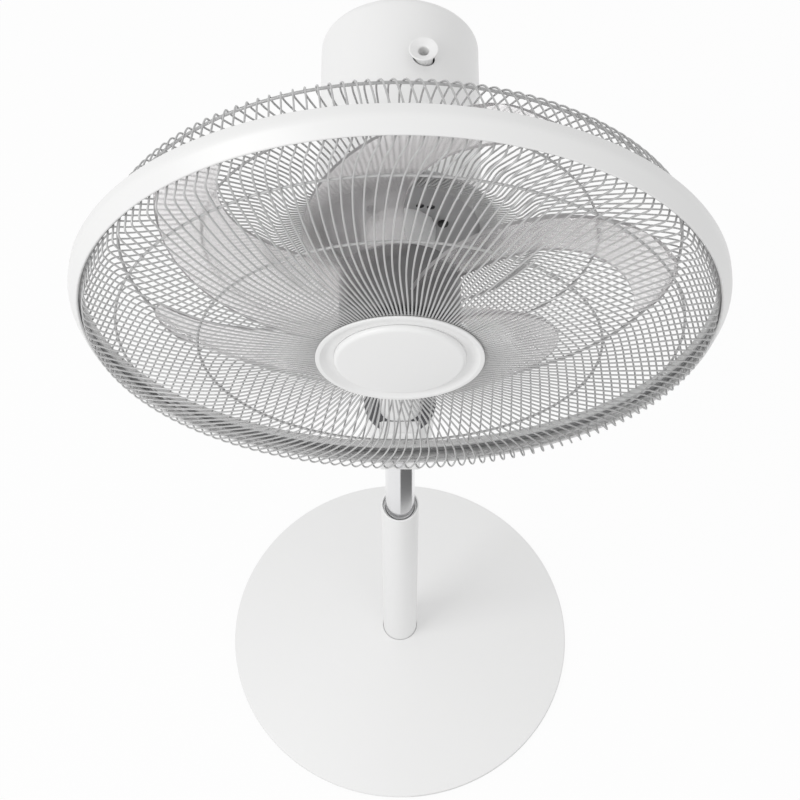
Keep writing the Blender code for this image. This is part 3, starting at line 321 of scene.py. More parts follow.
def smooth_curve(knots: Sequence[Vector], steps: int) -> list[Vector]:
    """Points of a smooth curve through knots.

    Args:
        knots: Points that the curve passes, of any size.
        steps: Points in each stretch between knots.

    Returns:
        The curve's points, the knots among them.
    """
    ends = [knots[0] * 2.0 - knots[1], *knots, knots[-1] * 2.0 - knots[-2]]
    points = []
    for index in range(1, len(ends) - 2):
        a, b, c, d = ends[index - 1:index + 3]
        for step in range(steps):
            t = step / steps
            points.append(0.5 * (2.0 * b + (c - a) * t + (2.0 * a - 5.0 * b + 4.0 * c - d) * t * t
                                 + (3.0 * b - a - 3.0 * c + d) * t ** 3))
    points.append(knots[-1])
    return points


def polar(radius: float, y: float, turn: float) -> Vector:
    """World point on the head.

    Args:
        radius: Distance from the fan's axis.
        y: Place along that axis.
        turn: Clockwise turn from the top in radians, seen from the front.

    Returns:
        The point.
    """
    return Vector((radius * math.sin(turn), y, FAN_HEIGHT + radius * math.cos(turn)))


def add_piece(
    name: str,
    shape: bmesh.types.BMesh,
    finishes: Sequence["Finish"],
    body: str,
    replaced: Sequence[str] = (),
    sharp: float = 35.0,
) -> bpy.types.Object:
    """Make a finished piece from a shape and hang it on its body.

    Args:
        name: The piece's name.
        shape: Its shape in world coordinates, which is freed.
        finishes: Its finishes, by the faces' material index.
        body: The body that it rides on.
        replaced: Nodes that it stands for.
        sharp: Angle in degrees above which an edge is creased.

    Returns:
        The object.
    """
    bmesh.ops.recalc_face_normals(shape, faces=shape.faces)
    mesh = mesh_from(name, shape)
    for finish in finishes:
        mesh.materials.append(finish.material())
    mesh.shade_smooth()
    mesh.set_sharp_from_angle(angle=math.radians(sharp))
    obj = put_in_scene(name, mesh)
    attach(obj, body)
    if replaced:
        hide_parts(*replaced)
    LOG.info("%s: %d faces on %s", name, len(mesh.polygons), body)
    return obj


def shader_node(
    tree: bpy.types.NodeTree, kind: str, operation: str | None = None, **values: float | tuple
) -> bpy.types.Node:
    """Add a shader node.

    Args:
        tree: The tree that it is added to.
        kind: Its type, without the leading ShaderNode.
        operation: Its operation, where it has one.
        values: Its inputs' values by name, with _ for a space.

    Returns:
        The node.
    """
    made = tree.nodes.new(f"ShaderNode{kind}")
    if operation:
        made.operation = operation
    set_inputs(made, **values)
    return made


def set_inputs(node: bpy.types.Node, **values: float | tuple) -> None:
    """Set a node's inputs by name, with _ for a space."""
    for label, value in values.items():
        node.inputs[label.replace("_", " ")].default_value = value


def connect(tree: bpy.types.NodeTree, *pairs: tuple) -> None:
    """Link each pair of an output and an input."""
    for start, end in pairs:
        tree.links.new(start, end)


class Effects:
    """Shader node groups that several finishes share, each built once."""

    def __init__(self) -> None:
        """Start with no groups built."""
        self.built: dict[str, bpy.types.ShaderNodeTree] = {}

    def group(self, name: str, inputs: dict[str, float], outputs: Sequence[str]) -> tuple:
        """Start a node group with its sockets.

        Args:
            name: The group's name.
            inputs: Value inputs with their defaults. A Vector input is always added.
            outputs: Names of its value outputs.

        Returns:
            The tree, its input node and its output node.
        """
        tree = bpy.data.node_groups.new(name, "ShaderNodeTree")
        tree.interface.new_socket("Vector", in_out="INPUT", socket_type="NodeSocketVector")
        for label, value in inputs.items():
            socket = tree.interface.new_socket(label, in_out="INPUT", socket_type="NodeSocketFloat")
            socket.default_value = value
        for label in outputs:
            tree.interface.new_socket(label, in_out="OUTPUT", socket_type="NodeSocketFloat")
        self.built[name] = tree
        return tree, tree.nodes.new("NodeGroupInput"), tree.nodes.new("NodeGroupOutput")

    def grain(self) -> bpy.types.ShaderNodeTree:
        """Fine even grain, as of a moulded or painted skin, with a slow drift mask."""
        if "surface_grain" in self.built:
            return self.built["surface_grain"]
        tree, inside, outside = self.group(
            "surface_grain", {"Scale": 900.0, "Drift Scale": 6.0}, ("Height", "Drift"))
        for detail, scale, result in ((3.0, "Scale", "Height"), (2.0, "Drift Scale", "Drift")):
            noise = shader_node(tree, "TexNoise", Detail=detail)
            connect(tree, (inside.outputs["Vector"], noise.inputs["Vector"]),
                    (inside.outputs[scale], noise.inputs["Scale"]),
                    (noise.outputs["Fac"], outside.inputs[result]))
        return tree

    def brushed(self) -> bpy.types.ShaderNodeTree:
        """Long fine lines along Z, as drawn metal has."""
        if "drawn_lines" in self.built:
            return self.built["drawn_lines"]
        tree, inside, outside = self.group(
            "drawn_lines", {"Across": 900.0, "Along": 6.0}, ("Height",))
        scale = shader_node(tree, "VectorMath", "MULTIPLY")
        both = shader_node(tree, "CombineXYZ")
        noise = shader_node(tree, "TexNoise", Scale=1.0, Detail=4.0)
        connect(tree, (inside.outputs["Vector"], scale.inputs[0]),
                (inside.outputs["Across"], both.inputs["X"]),
                (inside.outputs["Across"], both.inputs["Y"]),
                (inside.outputs["Along"], both.inputs["Z"]),
                (both.outputs["Vector"], scale.inputs[1]),
                (scale.outputs["Vector"], noise.inputs["Vector"]),
                (noise.outputs["Fac"], outside.inputs["Height"]))
        return tree


EFFECTS = Effects()

CLEAR_RADIUS = 0.060
DENSE_RADIUS = 0.135
TIP_RADIUS = 0.195


@dataclass(frozen=True)
class Finish:
    """One surface finish: a colour that drifts to a second, with grain in gloss and relief."""

    name: str
    colour: tuple[float, float, float]
    drift_colour: tuple[float, float, float]
    roughness: float
    roughness_spread: float = 0.06
    metallic: float = 0.0
    grain_scale: float = 900.0
    drift_scale: float = 6.0
    relief: float = 0.00001
    coat: float = 0.0
    transmission: float = 0.0
    ior: float = 1.46
    alpha: float = 1.0
    alpha_at_hub: float | None = None
    alpha_kept_at_tip: float = 1.0
    lined: bool = False

    def material(self) -> bpy.types.Material:
        """Build the node material, or return it if it was built before.

        Returns:
            The material.
        """
        if self.name in bpy.data.materials:
            return bpy.data.materials[self.name]
        material = bpy.data.materials.new(self.name)
        material.use_nodes = True
        tree = material.node_tree
        shader = tree.nodes["Principled BSDF"]
        set_inputs(shader, Metallic=self.metallic, IOR=self.ior, Coat_Weight=self.coat,
                   Transmission_Weight=self.transmission, Alpha=self.alpha)
        place = shader_node(tree, "TexCoord").outputs["Object"]
        grain = shader_node(tree, "Group")
        grain.node_tree = EFFECTS.grain()
        set_inputs(grain, Scale=self.grain_scale, Drift_Scale=self.drift_scale)
        tint = shader_node(tree, "Mix")
        tint.data_type = "RGBA"
        set_inputs(tint, A=(*self.colour, 1.0), B=(*self.drift_colour, 1.0))
        gloss = shader_node(tree, "MapRange", To_Min=self.roughness - self.roughness_spread,
                            To_Max=self.roughness + self.roughness_spread)
        connect(tree, (place, grain.inputs["Vector"]),
                (grain.outputs["Drift"], tint.inputs["Factor"]),
                (tint.outputs["Result"], shader.inputs["Base Color"]),
                (grain.outputs["Drift"], gloss.inputs["Value"]),
                (gloss.outputs["Result"], shader.inputs["Roughness"]))
        if self.alpha_at_hub is not None:
            self.clear_towards_hub(tree, place, shader.inputs["Alpha"])
        bump = shader_node(tree, "Bump", Distance=self.relief)
        height = grain.outputs["Height"]
        if self.lined:
            lines = shader_node(tree, "Group")
            lines.node_tree = EFFECTS.brushed()
            connect(tree, (place, lines.inputs["Vector"]))
            height = lines.outputs["Height"]
        connect(tree, (height, bump.inputs["Height"]),
                (bump.outputs["Normal"], shader.inputs["Normal"]))
        return material

    def clear_towards_hub(
        self, tree: bpy.types.NodeTree, place: bpy.types.NodeSocket, target: bpy.types.NodeSocket
    ) -> None:
        """Let more light through near the hub and near the blades' tips.

        Args:
            tree: The material's tree.
            place: Object coordinates.
            target: The shader's alpha socket.
        """
        from_axis = shader_node(tree, "Mapping", Location=(0.0, 0.0, -FAN_HEIGHT),
                                Scale=(1.0, 0.0, 1.0))
        reach = shader_node(tree, "VectorMath", "LENGTH")
        level = shader_node(tree, "MapRange", From_Min=CLEAR_RADIUS, From_Max=DENSE_RADIUS,
                            To_Min=self.alpha_at_hub, To_Max=self.alpha)
        thinner = shader_node(tree, "MapRange", From_Min=DENSE_RADIUS, From_Max=TIP_RADIUS,
                              To_Min=1.0, To_Max=self.alpha_kept_at_tip)
        both = shader_node(tree, "Math", "MULTIPLY")
        connect(tree, (place, from_axis.inputs["Vector"]),
                (from_axis.outputs["Vector"], reach.inputs[0]),
                (reach.outputs["Value"], level.inputs["Value"]),
                (reach.outputs["Value"], thinner.inputs["Value"]),
                (level.outputs["Result"], both.inputs[0]),
                (thinner.outputs["Result"], both.inputs[1]),
                (both.outputs["Value"], target))


WHITE_PLASTIC = Finish("white_moulded_plastic", (0.83, 0.83, 0.83), (0.81, 0.81, 0.805), 0.34,
                       grain_scale=1400.0, relief=0.00001)
# Darker copy of the white moulded plastic for the guard band: painted shade that holds the band down under
# the key light.
PAINTED_SHADE_BAND_PLASTIC = Finish("band_plastic_painted_shade", (0.785, 0.785, 0.785), (0.765, 0.765, 0.76), 0.34,
                      grain_scale=1400.0, relief=0.00001)
WHITE_PAINT = Finish("white_powder_paint", (0.84, 0.84, 0.84), (0.825, 0.825, 0.82), 0.42,
                     grain_scale=700.0, relief=0.00002)
BUTTON_PLASTIC = Finish("moulded_button_plastic", (0.72, 0.72, 0.73), (0.70, 0.70, 0.71), 0.45)
MID_GREY_PLASTIC = Finish("mid_grey_plastic", (0.40, 0.40, 0.405), (0.36, 0.36, 0.365), 0.40)
BLACK_STEEL = Finish("blackened_steel", (0.05, 0.05, 0.05), (0.03, 0.03, 0.03), 0.38, metallic=0.5)
GREY_PLASTIC = Finish("grey_moulded_plastic", (0.30, 0.30, 0.305), (0.27, 0.27, 0.275), 0.42)
LIGHT_GREY_PLASTIC = Finish("light_grey_plastic", (0.84, 0.84, 0.84), (0.80, 0.80, 0.80), 0.35)
DARK_PLASTIC = Finish("dark_moulded_plastic", (0.09, 0.09, 0.095), (0.07, 0.07, 0.075), 0.45)
FROSTED = Finish("frosted_blade_plastic", (0.97, 0.945, 0.95), (0.95, 0.925, 0.93), 0.24,
                 roughness_spread=0.03, relief=0.00001, transmission=0.88, ior=1.10, alpha=0.66,
                 alpha_at_hub=0.55, alpha_kept_at_tip=0.70)
# Darker copy of the frosted plastic for the blades' rims: painted shade for the dark line that refraction
# draws along the thick edges.
BLADE_RIM_PAINTED_SHADE = Finish("blade_rim_painted_shade", (0.42, 0.41, 0.415), (0.38, 0.37, 0.375), 0.30,
                    roughness_spread=0.03, transmission=0.4, ior=1.42)
HUB_PLASTIC = Finish("hub_plastic", (0.17, 0.168, 0.17), (0.13, 0.128, 0.13), 0.32)
CHROME = Finish("chrome_tube", (0.80, 0.80, 0.81), (0.77, 0.77, 0.78), 0.14,
                roughness_spread=0.03, metallic=1.0, relief=0.000002, lined=True)
ZINC = Finish("zinc_plated_steel", (0.58, 0.58, 0.59), (0.48, 0.48, 0.50), 0.34, metallic=1.0,
              grain_scale=400.0)
IRON = Finish("painted_cast_iron", (0.16, 0.16, 0.16), (0.11, 0.11, 0.11), 0.62, metallic=0.6,
              grain_scale=350.0, relief=0.00015)
ALUMINIUM = Finish("die_cast_aluminium", (0.66, 0.66, 0.67), (0.58, 0.58, 0.59), 0.40,
                   metallic=1.0, grain_scale=500.0, relief=0.00003)
WIRE = Finish("silver_coated_wire", (0.50, 0.50, 0.50), (0.46, 0.46, 0.46), 0.34, metallic=0.1,
              grain_scale=1500.0, coat=0.3)
RUBBER = Finish("black_rubber", (0.035, 0.035, 0.035), (0.025, 0.025, 0.025), 0.8)
BOARD = Finish("dark_masked_board", (0.020, 0.026, 0.023), (0.014, 0.018, 0.016), 0.5)


@dataclass
class Base:
    """Cone cover on its five feet."""

    wall: float = 0.0025
    rim_height: float = 0.0045
    rim_fillet: float = 0.0018
    neck_clearance: float = 0.0002
    neck_fillet: float = 0.0004
    neck_land: float = 0.0008
    foot_fillet: float = 0.0006

    def build(self) -> None:
        """Model the cover and feet."""
        box = Extent("base_cover")
        radius = box.radius
        low = box.low.z
        inner = Extent("outer_tube").radius + GAP
        rim = low + self.rim_height
        wall = self.wall
        cover = lathe([
            (radius, low), (radius, rim, self.rim_fillet),
            (inner + self.neck_clearance, box.high.z, self.neck_fillet),
            (inner, box.high.z - self.neck_land), (inner, box.high.z - wall),
            (radius - wall, rim - wall), (radius - wall, low),
        ], FINE)
        add_piece("base_cover_shell", cover, [WHITE_PAINT], "base",
                  ["base_cover"])
        feet = bmesh.new()
        nodes = [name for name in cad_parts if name.startswith("foot_")]
        for node in nodes:
            foot = Extent(node)
            place = foot.middle
            absorb(feet, lathe([
                (0.0, foot.low.z), (foot.radius, foot.low.z, self.foot_fillet),
                (foot.radius, foot.high.z), (0.0, foot.high.z),
            ], SMALL, centre=(place.x, place.y, 0.0), steps=3))
        add_piece("rubber_feet", feet, [RUBBER], "base", nodes)


@dataclass
class Pole:
    """Painted outer tube with its bush, and the chrome tube that slides in it."""

    outer_wall: float = 0.0015
    inner_wall: float = 0.0012
    lip: float = 0.0006
    bush_fillet: float = 0.0004

    def build(self) -> None:
        """Model both tubes and the guide bush."""
        outer = Extent("outer_tube")
        bore = outer.radius - self.outer_wall
        tube = lathe([
            (bore, outer.low.z), (outer.radius, outer.low.z), (outer.radius, outer.high.z, self.lip),
            (bore, outer.high.z, self.lip),
        ], MEDIUM)
        add_piece("outer_tube_skin", tube, [WHITE_PAINT], "base",
                  ["outer_tube"])
        inner = Extent("inner_tube")
        bush = Extent("guide_bush")
        add_piece("guide_bush_ring", lathe([
            (inner.radius + GAP, bush.low.z), (bore - GAP, bush.low.z),
            (bore - GAP, bush.high.z, self.bush_fillet), (inner.radius + GAP, bush.high.z, self.lip),
        ], MEDIUM), [WHITE_PLASTIC], "base", ["guide_bush"])
        hollow = inner.radius - self.inner_wall
        add_piece("chrome_tube", lathe([
            (hollow, inner.low.z), (inner.radius, inner.low.z), (inner.radius, inner.high.z),
            (hollow, inner.high.z),
        ], MEDIUM), [CHROME], "column", ["inner_tube"])


@dataclass
class ControlPod:
    """Control box on the chrome tube with its lid, panel and keys."""

    wall: float = 0.0025
    fillet: float = 0.009
    bottom_radius: float = 0.0285
    key_fillet: float = 0.0009
    panel_fillet: float = 0.0014
    panel_wall: float = 0.0012
    panel_thickness: float = 0.003
    lip_inset: float = 0.0015
    lid_fillet: float = 0.0012
    seam_angle: float = 0.006
    tool_reach: float = 0.01
    slot_back: float = 0.004
    tool_edge: float = 0.0002

    def build(self) -> None:
        """Model the shells, lid, panel and keys."""
        back = Extent("pod_back")
        panel = Extent("control_panel")
        bore = Extent("inner_tube").radius + GAP
        top = back.radius
        outline = [
            (bore, back.low.z), (self.bottom_radius, back.low.z, self.fillet), (top, back.high.z),
            (top - self.wall, back.high.z),
            (self.bottom_radius - self.wall, back.low.z + self.wall, self.fillet - self.wall),
            (bore, back.low.z + self.wall),
        ]
        reach = self.tool_reach
        slot = block((panel.low.x - GAP, panel.low.y - reach, panel.low.z - GAP),
                     (panel.high.x + GAP, -bore - self.slot_back, panel.high.z + reach),
                     self.tool_edge, 1)
        seam = self.seam_angle
        for node, start in (("pod_front", math.pi + seam), ("pod_back", seam)):
            half = lathe(outline, MEDIUM, sweep=math.pi - 2.0 * seam, start=start)
            shell = add_piece(f"{node}_shell", half, [WHITE_PLASTIC], "column", [node])
            if node == "pod_front":
                cut_with(shell, slot)
        lid = Extent("pod_lid")
        lid_piece = add_piece("pod_lid_ring", lathe([
            (bore, lid.low.z), (lid.radius, lid.low.z), (lid.radius, lid.high.z, self.lid_fillet),
            (bore, lid.high.z),
        ], MEDIUM), [DARK_PLASTIC], "column", ["pod_lid"])
        cut_with(lid_piece, block(
            (panel.low.x - GAP, panel.low.y - reach, lid.low.z - reach),
            (panel.high.x + GAP, panel.high.y + GAP, lid.high.z + reach), self.tool_edge, 1))
        face = add_piece("control_face", block(
            panel.low, (panel.high.x, panel.low.y + self.panel_thickness, panel.high.z),
            self.panel_fillet),
            [WHITE_PLASTIC], "column", ["control_panel"])
        inset = self.lip_inset
        add_piece("control_face_lip", block(
            (panel.low.x + inset, panel.low.y + inset, lid.low.z),
            (panel.high.x - inset, panel.high.y, lid.high.z), 2.0 * self.tool_edge, 2),
            [WHITE_PLASTIC], "column", ["control_panel"])
        sides = bmesh.new()
        board = Extent("control_board")
        inner = panel.high.x - self.panel_wall
        start = panel.low.y + self.panel_fillet
        back_end = board.low.y - GAP
        for low, high in (
            ((-panel.high.x, start, panel.low.z), (-inner, back_end, lid.high.z)),
            ((inner, start, panel.low.z), (panel.high.x, back_end, lid.high.z)),
            ((-inner, start, panel.low.z), (inner, back_end, panel.low.z + self.panel_wall)),
        ):
            absorb(sides, block(low, high, self.tool_edge, 1))
        add_piece("control_face_sides", sides, [WHITE_PLASTIC], "column",
                  ["control_panel"])
        for use in ("power", "speed", "swing", "timer"):
            node = f"{use}_button"
            key = Extent(node)
            place = (0.0, 0.0, key.middle.z)
            cut_with(face, cylinder(key.radius + GAP, key.low.y - reach, key.low.y + reach, centre=place))
            add_piece(f"{node}_cap", lathe([
                (0.0, key.low.y), (key.radius, key.low.y, self.key_fillet), (key.radius, key.high.y),
                (0.0, key.high.y),
            ], SMALL, Axis.FAN, place), [BUTTON_PLASTIC], f"{use}_key", [node])


@dataclass
class Neck:
    """Column with the two cheeks that hold the tilt pin."""

    corner: float = 0.013
    top_scale_x: float = 34.0 / 36.0
    top_scale_y: float = 34.0 / 40.0
    shoulder: float = 0.846
    cheek_radius: float = 0.012
    cheek_thickness: float = 0.006
    cheek_root: float = 0.004
    cheek_edge: float = 0.0008
    edge: float = 0.0012

    def build(self) -> None:
        """Model the column and its cheeks."""
        box = Extent("neck_column")
        tilt = Extent("tilt_pin").middle.z
        shape = bmesh.new()
        bmesh.ops.create_cube(shape, size=1.0)
        size = (box.high.x - box.low.x, box.high.y - box.low.y, self.shoulder - box.low.z)
        middle = (0.0, 0.0, (self.shoulder + box.low.z) / 2.0)
        shape.transform(Matrix.Translation(middle) @ Matrix.Diagonal((*size, 1.0)))
        upright = [edge for edge in shape.edges
                   if abs(edge.verts[0].co.z - edge.verts[1].co.z) > size[2] / 2.0]
        bmesh.ops.bevel(shape, geom=upright, offset=self.corner, segments=10, affect="EDGES",
                        profile=0.5, material=-1)
        upper = [vert for vert in shape.verts if vert.co.z > middle[2]]
        bmesh.ops.scale(shape, vec=(self.top_scale_x, self.top_scale_y, 1.0), verts=upper)
        rim = [edge for edge in shape.edges if all(vert.co.z > middle[2] for vert in edge.verts)]
        bmesh.ops.bevel(shape, geom=rim, offset=self.edge, segments=3, affect="EDGES", profile=0.5,
                        material=-1)
        outer = Extent("tilt_pin").high.x
        for side in (-1.0, 1.0):
            low, high = sorted((side * (outer - self.cheek_thickness), side * outer))
            absorb(shape, lathe([(0.0, low), (self.cheek_radius, low, self.cheek_edge),
                                 (self.cheek_radius, high, self.cheek_edge), (0.0, high)], SMALL,
                                Axis.TILT, (0.0, 0.0, tilt), steps=3))
            absorb(shape, block((low, -self.cheek_radius, self.shoulder - self.cheek_root),
                                (high, self.cheek_radius, tilt), self.cheek_edge, 2))
        add_piece("neck_shell", shape, [WHITE_PLASTIC], "column",
                  ["neck_column"])


class Grille(Enum):
    """The two wire grilles, by the side of the head that they close."""

    FRONT = "front"
    REAR = "rear"


@dataclass
class WireGrille:
    """Swirled wires with the hoops that they are welded to.

    Knots are (radius, y, turn in degrees) down one wire, and hoops are (radius, y, thickness).
    """

    side: Grille
    knots: tuple[tuple[float, float, float], ...]
    hoops: tuple[tuple[float, float, float], ...]
    count: int = 160
    wire_radius: float = 0.00069
    sides: int = 6
    steps: int = 3
    hoop_roundness: float = 0.99

    def wires(self) -> bmesh.types.BMesh:
        """One wire drawn along its knots and repeated round the head.

        Returns:
            The shape.
        """
        shape = bmesh.new()
        knots = [Vector(knot) for knot in self.knots]
        path = [polar(p.x, p.y, math.radians(p.z)) for p in smooth_curve(knots, self.steps)]
        sweep(shape, path, self.wire_radius, self.sides)
        share = math.tau * (self.count - 1) / self.count
        bmesh.ops.spin(shape, geom=shape.verts[:] + shape.edges[:] + shape.faces[:],
                       cent=FAN_CENTRE, axis=(0.0, 1.0, 0.0), angle=share,
                       steps=self.count - 1, use_duplicate=True)
        return shape

    def rings(self) -> bmesh.types.BMesh:
        """The hoops.

        Returns:
            The shape.
        """
        shape = bmesh.new()
        for radius, y, thickness in self.hoops:
            half = thickness / 2.0
            fillet = half * self.hoop_roundness
            corners = [(radius + half, y - half, fillet), (radius + half, y + half, fillet),
                       (radius - half, y + half, fillet), (radius - half, y - half, fillet)]
            absorb(shape, fan_lathe(corners, FINE, 2))
        return shape

    def build(self) -> None:
        """Model the grille as one piece."""
        shape = self.wires()
        absorb(shape, self.rings())
        node = f"{self.side.value}_grille"
        add_piece(f"{node}_wires", shape, [WIRE], "head", [node], 60.0)


@dataclass
class Guard:
    """White band round the head with the grooved ring inside it."""

    wall: float = 0.0028
    front_radius: float = 0.2188
    edge: float = 0.0006
    shoulder: float = 0.008
    shoulder_fillet: float = 0.010
    inner_step: float = 0.0005
    lip: float = 0.0012
    ring_wall: float = 0.006
    ring_edge: float = 0.0008
    shade_strip_slope: float = 0.0010
    groove_depth: float = 0.0022
    groove_width: float = 0.0016

    def build(self) -> None:
        """Model the band and the ring."""
        band = Extent("guard_band")
        radius = band.radius
        rear = band.high.y
        front = band.low.y
        narrow = self.front_radius
        outline = [
            (radius, rear, self.edge), (radius, rear - self.shoulder, self.shoulder_fillet),
            (narrow, front, self.lip), (narrow - self.wall, front, self.lip),
            (radius - self.wall, rear - self.shoulder - self.inner_step),
            (radius - self.wall, rear, self.edge),
        ]
        # The band wears the darker copy of the white plastic: painted shade.
        add_piece("guard_band_shell", fan_lathe(outline, FINE), [PAINTED_SHADE_BAND_PLASTIC], "head",
                  ["guard_band"])
        ring = Extent("guard_inner_ring")
        outside = ring.radius
        inside = outside - self.ring_wall
        add_piece("guard_inner_lip", fan_lathe([
            (inside, ring.high.y, self.ring_edge), (outside, ring.high.y), (outside, ring.low.y),
            (inside, ring.low.y, self.lip),
        ], FINE, 3), [WHITE_PLASTIC], "head", ["guard_inner_ring"])
        # A grey strip laid in front of the inner ring: painted shade standing in for the shadow in the gap
        # where the wires go in.
        groove = ring.low.y - GAP
        add_piece("guard_groove_painted_shade", fan_lathe([
            (inside + self.groove_depth, groove), (outside, groove),
            (outside - self.shade_strip_slope, groove - self.groove_width),
            (inside + self.groove_depth, groove - self.groove_width),
        ], FINE, 3), [GREY_PLASTIC], "head", ["guard_inner_ring"])


@dataclass
class CentreCap:
    """Round cap over the front wires with a raised bare disc in a hollow ring."""

    rim: float = 0.0030
    hollow: float = 0.0034
    hollow_width: float = 0.0050
    hollow_fillet: float = 0.006
    hollow_rise: float = 0.8
    rim_fillet: float = 0.0006
    rim_inner_fillet: float = 0.0009
    disc_clearance: float = 0.0004
    disc_fillet: float = 0.0030
    spigot: float = 0.0530
    plate_fillet: float = 0.0005

    def build(self) -> None:
        """Model the cap, its disc and the plate behind the wires."""
        cap = Extent("centre_cap")
        disc = Extent("cap_disc")
        radius = cap.radius
        inner = disc.radius + self.disc_clearance
        front = cap.low.y
        back = cap.high.y
        floor = disc.high.y + GAP
        seat = Extent("front_grille").low.y - GAP
        outline = [
            (0.0, back), (self.spigot, back), (self.spigot, seat), (radius, seat),
            (radius, front, self.rim_fillet), (radius - self.rim, front, self.rim_inner_fillet),
            (radius - self.rim - self.hollow_width, front + self.hollow, self.hollow_fillet),
            (inner, front + self.hollow * self.hollow_rise), (inner, floor), (0.0, floor),
        ]
        add_piece("centre_cap_shell", fan_lathe(outline, FINE, 8), [WHITE_PLASTIC],
                  "head", ["centre_cap"])
        add_piece("centre_cap_disc", fan_lathe([
            (0.0, disc.high.y), (disc.radius, disc.high.y), (disc.radius, disc.low.y, self.disc_fillet),
            (0.0, disc.low.y),
        ], FINE, 8), [WHITE_PLASTIC], "head", ["cap_disc"])
        plate = Extent("cap_back_plate")
        add_piece("cap_clamp_plate", fan_lathe([
            (0.0, plate.low.y), (plate.radius, plate.low.y),
            (plate.radius, plate.high.y, self.plate_fillet),
            (0.0, plate.high.y),
        ], MEDIUM), [DARK_PLASTIC], "head", ["cap_back_plate"])


def power_sum(factors: Sequence[float], share: float) -> float:
    """Sum of factors times rising powers of a share."""
    return sum(factor * share ** power for power, factor in enumerate(factors))


@dataclass
class FanBlades:
    """Five swept frosted blades on a dark hub.

    The blade's edges are powers of the share of its span: turns in degrees clockwise from the
    top, and depths behind the hub's front.
    """

    count: int = 5
    tip_radius: float = 0.1962
    leading_tip_inset: float = 0.0078
    tip_round: float = 0.010
    thickness: float = 0.0024
    camber: float = 0.006
    leading_turn: tuple[float, ...] = (7.6, -47.5, 102.2, -24.4)
    leading_depth: tuple[float, ...] = (0.0438, 0.0366, -0.0246)
    trailing_turn: tuple[float, ...] = (-62.2, 49.0, 26.9, 2.0)
    trailing_depth: tuple[float, ...] = (0.0118, 0.0459, 0.0027)
    span_steps: int = 40
    chord_steps: int = 24
    hub_radius: float = 0.042
    hub_length: float = 0.049
    hub_wall: float = 0.0030
    hub_nose: float = 0.006
    hub_rim: float = 0.0008
    hub_inside: float = 0.004
    boss_radius: float = 0.010
    boss_length: float = 0.036
    nut_taper: float = 0.003
    nut_edge: float = 0.001
    nut_skirt: float = 0.002
    nut_bore_depth: float = 0.004

    def surface(self, front: float, share: float, across: float) -> Vector:
        """Point of the blade's middle surface.

        Args:
            front: Place of the hub's front along the fan's axis.
            share: 0 at the root to 1 at the tip.
            across: 0 at the leading edge to 1 at the trailing edge.

        Returns:
            The point.
        """
        root = self.hub_radius - self.hub_wall / 2.0
        tip = self.tip_radius - self.leading_tip_inset * (1.0 - across)
        drop = self.tip_round * share ** 6 * (2.0 * across - 1.0) ** 4
        radius = root + (tip - root) * share - drop
        lead = 1.0 - across
        depth = power_sum(self.leading_depth, share) * lead + power_sum(self.trailing_depth, share) * across
        bulge = self.camber * (1.0 - share) * math.sin(math.pi * across)
        turn = power_sum(self.leading_turn, share) * lead + power_sum(self.trailing_turn, share) * across
        return polar(radius, front + depth + bulge, math.radians(turn))

    def blade(self, front: float) -> bmesh.types.BMesh:
        """One blade, bent from a flat grid and given its thickness.

        Args:
            front: Place of the hub's front along the fan's axis.

        Returns:
            The shape, its rim faces with material index 1.
        """
        shape = bmesh.new()
        bmesh.ops.create_grid(shape, x_segments=self.span_steps, y_segments=self.chord_steps, size=0.5)
        for vert in shape.verts:
            vert.co = self.surface(front, vert.co.x + 0.5, vert.co.y + 0.5)
        bmesh.ops.recalc_face_normals(shape, faces=shape.faces)
        shape.normal_update()
        under = set(shape.faces)
        lower = list(shape.verts)
        push = [vert.normal * self.thickness / 2.0 for vert in lower]
        grown = bmesh.ops.extrude_face_region(shape, geom=list(under), use_keep_orig=True)["geom"]
        upper = [item for item in grown if isinstance(item, bmesh.types.BMVert)]
        over = {item for item in grown if isinstance(item, bmesh.types.BMFace)}
        lift = [vert.normal * self.thickness / 2.0 for vert in upper]
        for vert, move in zip(lower, push):
            vert.co -= move
        for vert, move in zip(upper, lift):
            vert.co += move
        # Material index 1, on the rim faces, carries the painted shade along the blades' edges.
        for face in shape.faces:
            face.material_index = 0 if face in under or face in over else 1
        return shape

    def build(self) -> None:
        """Model the blades, the hub and its nut."""
        front = Extent("fan_blades").low.y
        blades = bmesh.new()
        for index in range(self.count):
            blade = self.blade(front)
            blade.transform(Matrix.Translation((0.0, 0.0, FAN_HEIGHT))
                            @ Matrix.Rotation(math.tau * index / self.count, 4, "Y")
                            @ Matrix.Translation((0.0, 0.0, -FAN_HEIGHT)))
            absorb(blades, blade)
        add_piece("fan_blade_set", blades, [FROSTED, BLADE_RIM_PAINTED_SHADE], "rotor",
                  ["fan_blades"], 50.0)
        wall = self.hub_wall
        bore = Extent("motor_shaft").radius + GAP
        rear = front + self.hub_length
        add_piece("fan_hub", fan_lathe([
            (bore, front), (self.hub_radius, front, self.hub_nose),
            (self.hub_radius, rear, self.hub_rim), (self.hub_radius - wall, rear),
            (self.hub_radius - wall, front + wall, self.hub_inside),
            (self.boss_radius, front + wall), (self.boss_radius, front + self.boss_length),
            (bore, front + self.boss_length),
        ], MEDIUM), [HUB_PLASTIC], "rotor", ["fan_blades"])
        nut = Extent("blade_nut")
        back = nut.high.y
        add_piece("blade_cap_nut", fan_lathe([
            (0.0, nut.low.y), (nut.radius - self.nut_taper, nut.low.y, self.nut_edge),
            (nut.radius, back - self.nut_skirt), (nut.radius, back), (bore, back),
            (bore, back - self.nut_bore_depth), (0.0, back - self.nut_bore_depth),
        ], SMALL), [GREY_PLASTIC], "rotor", ["blade_nut"])


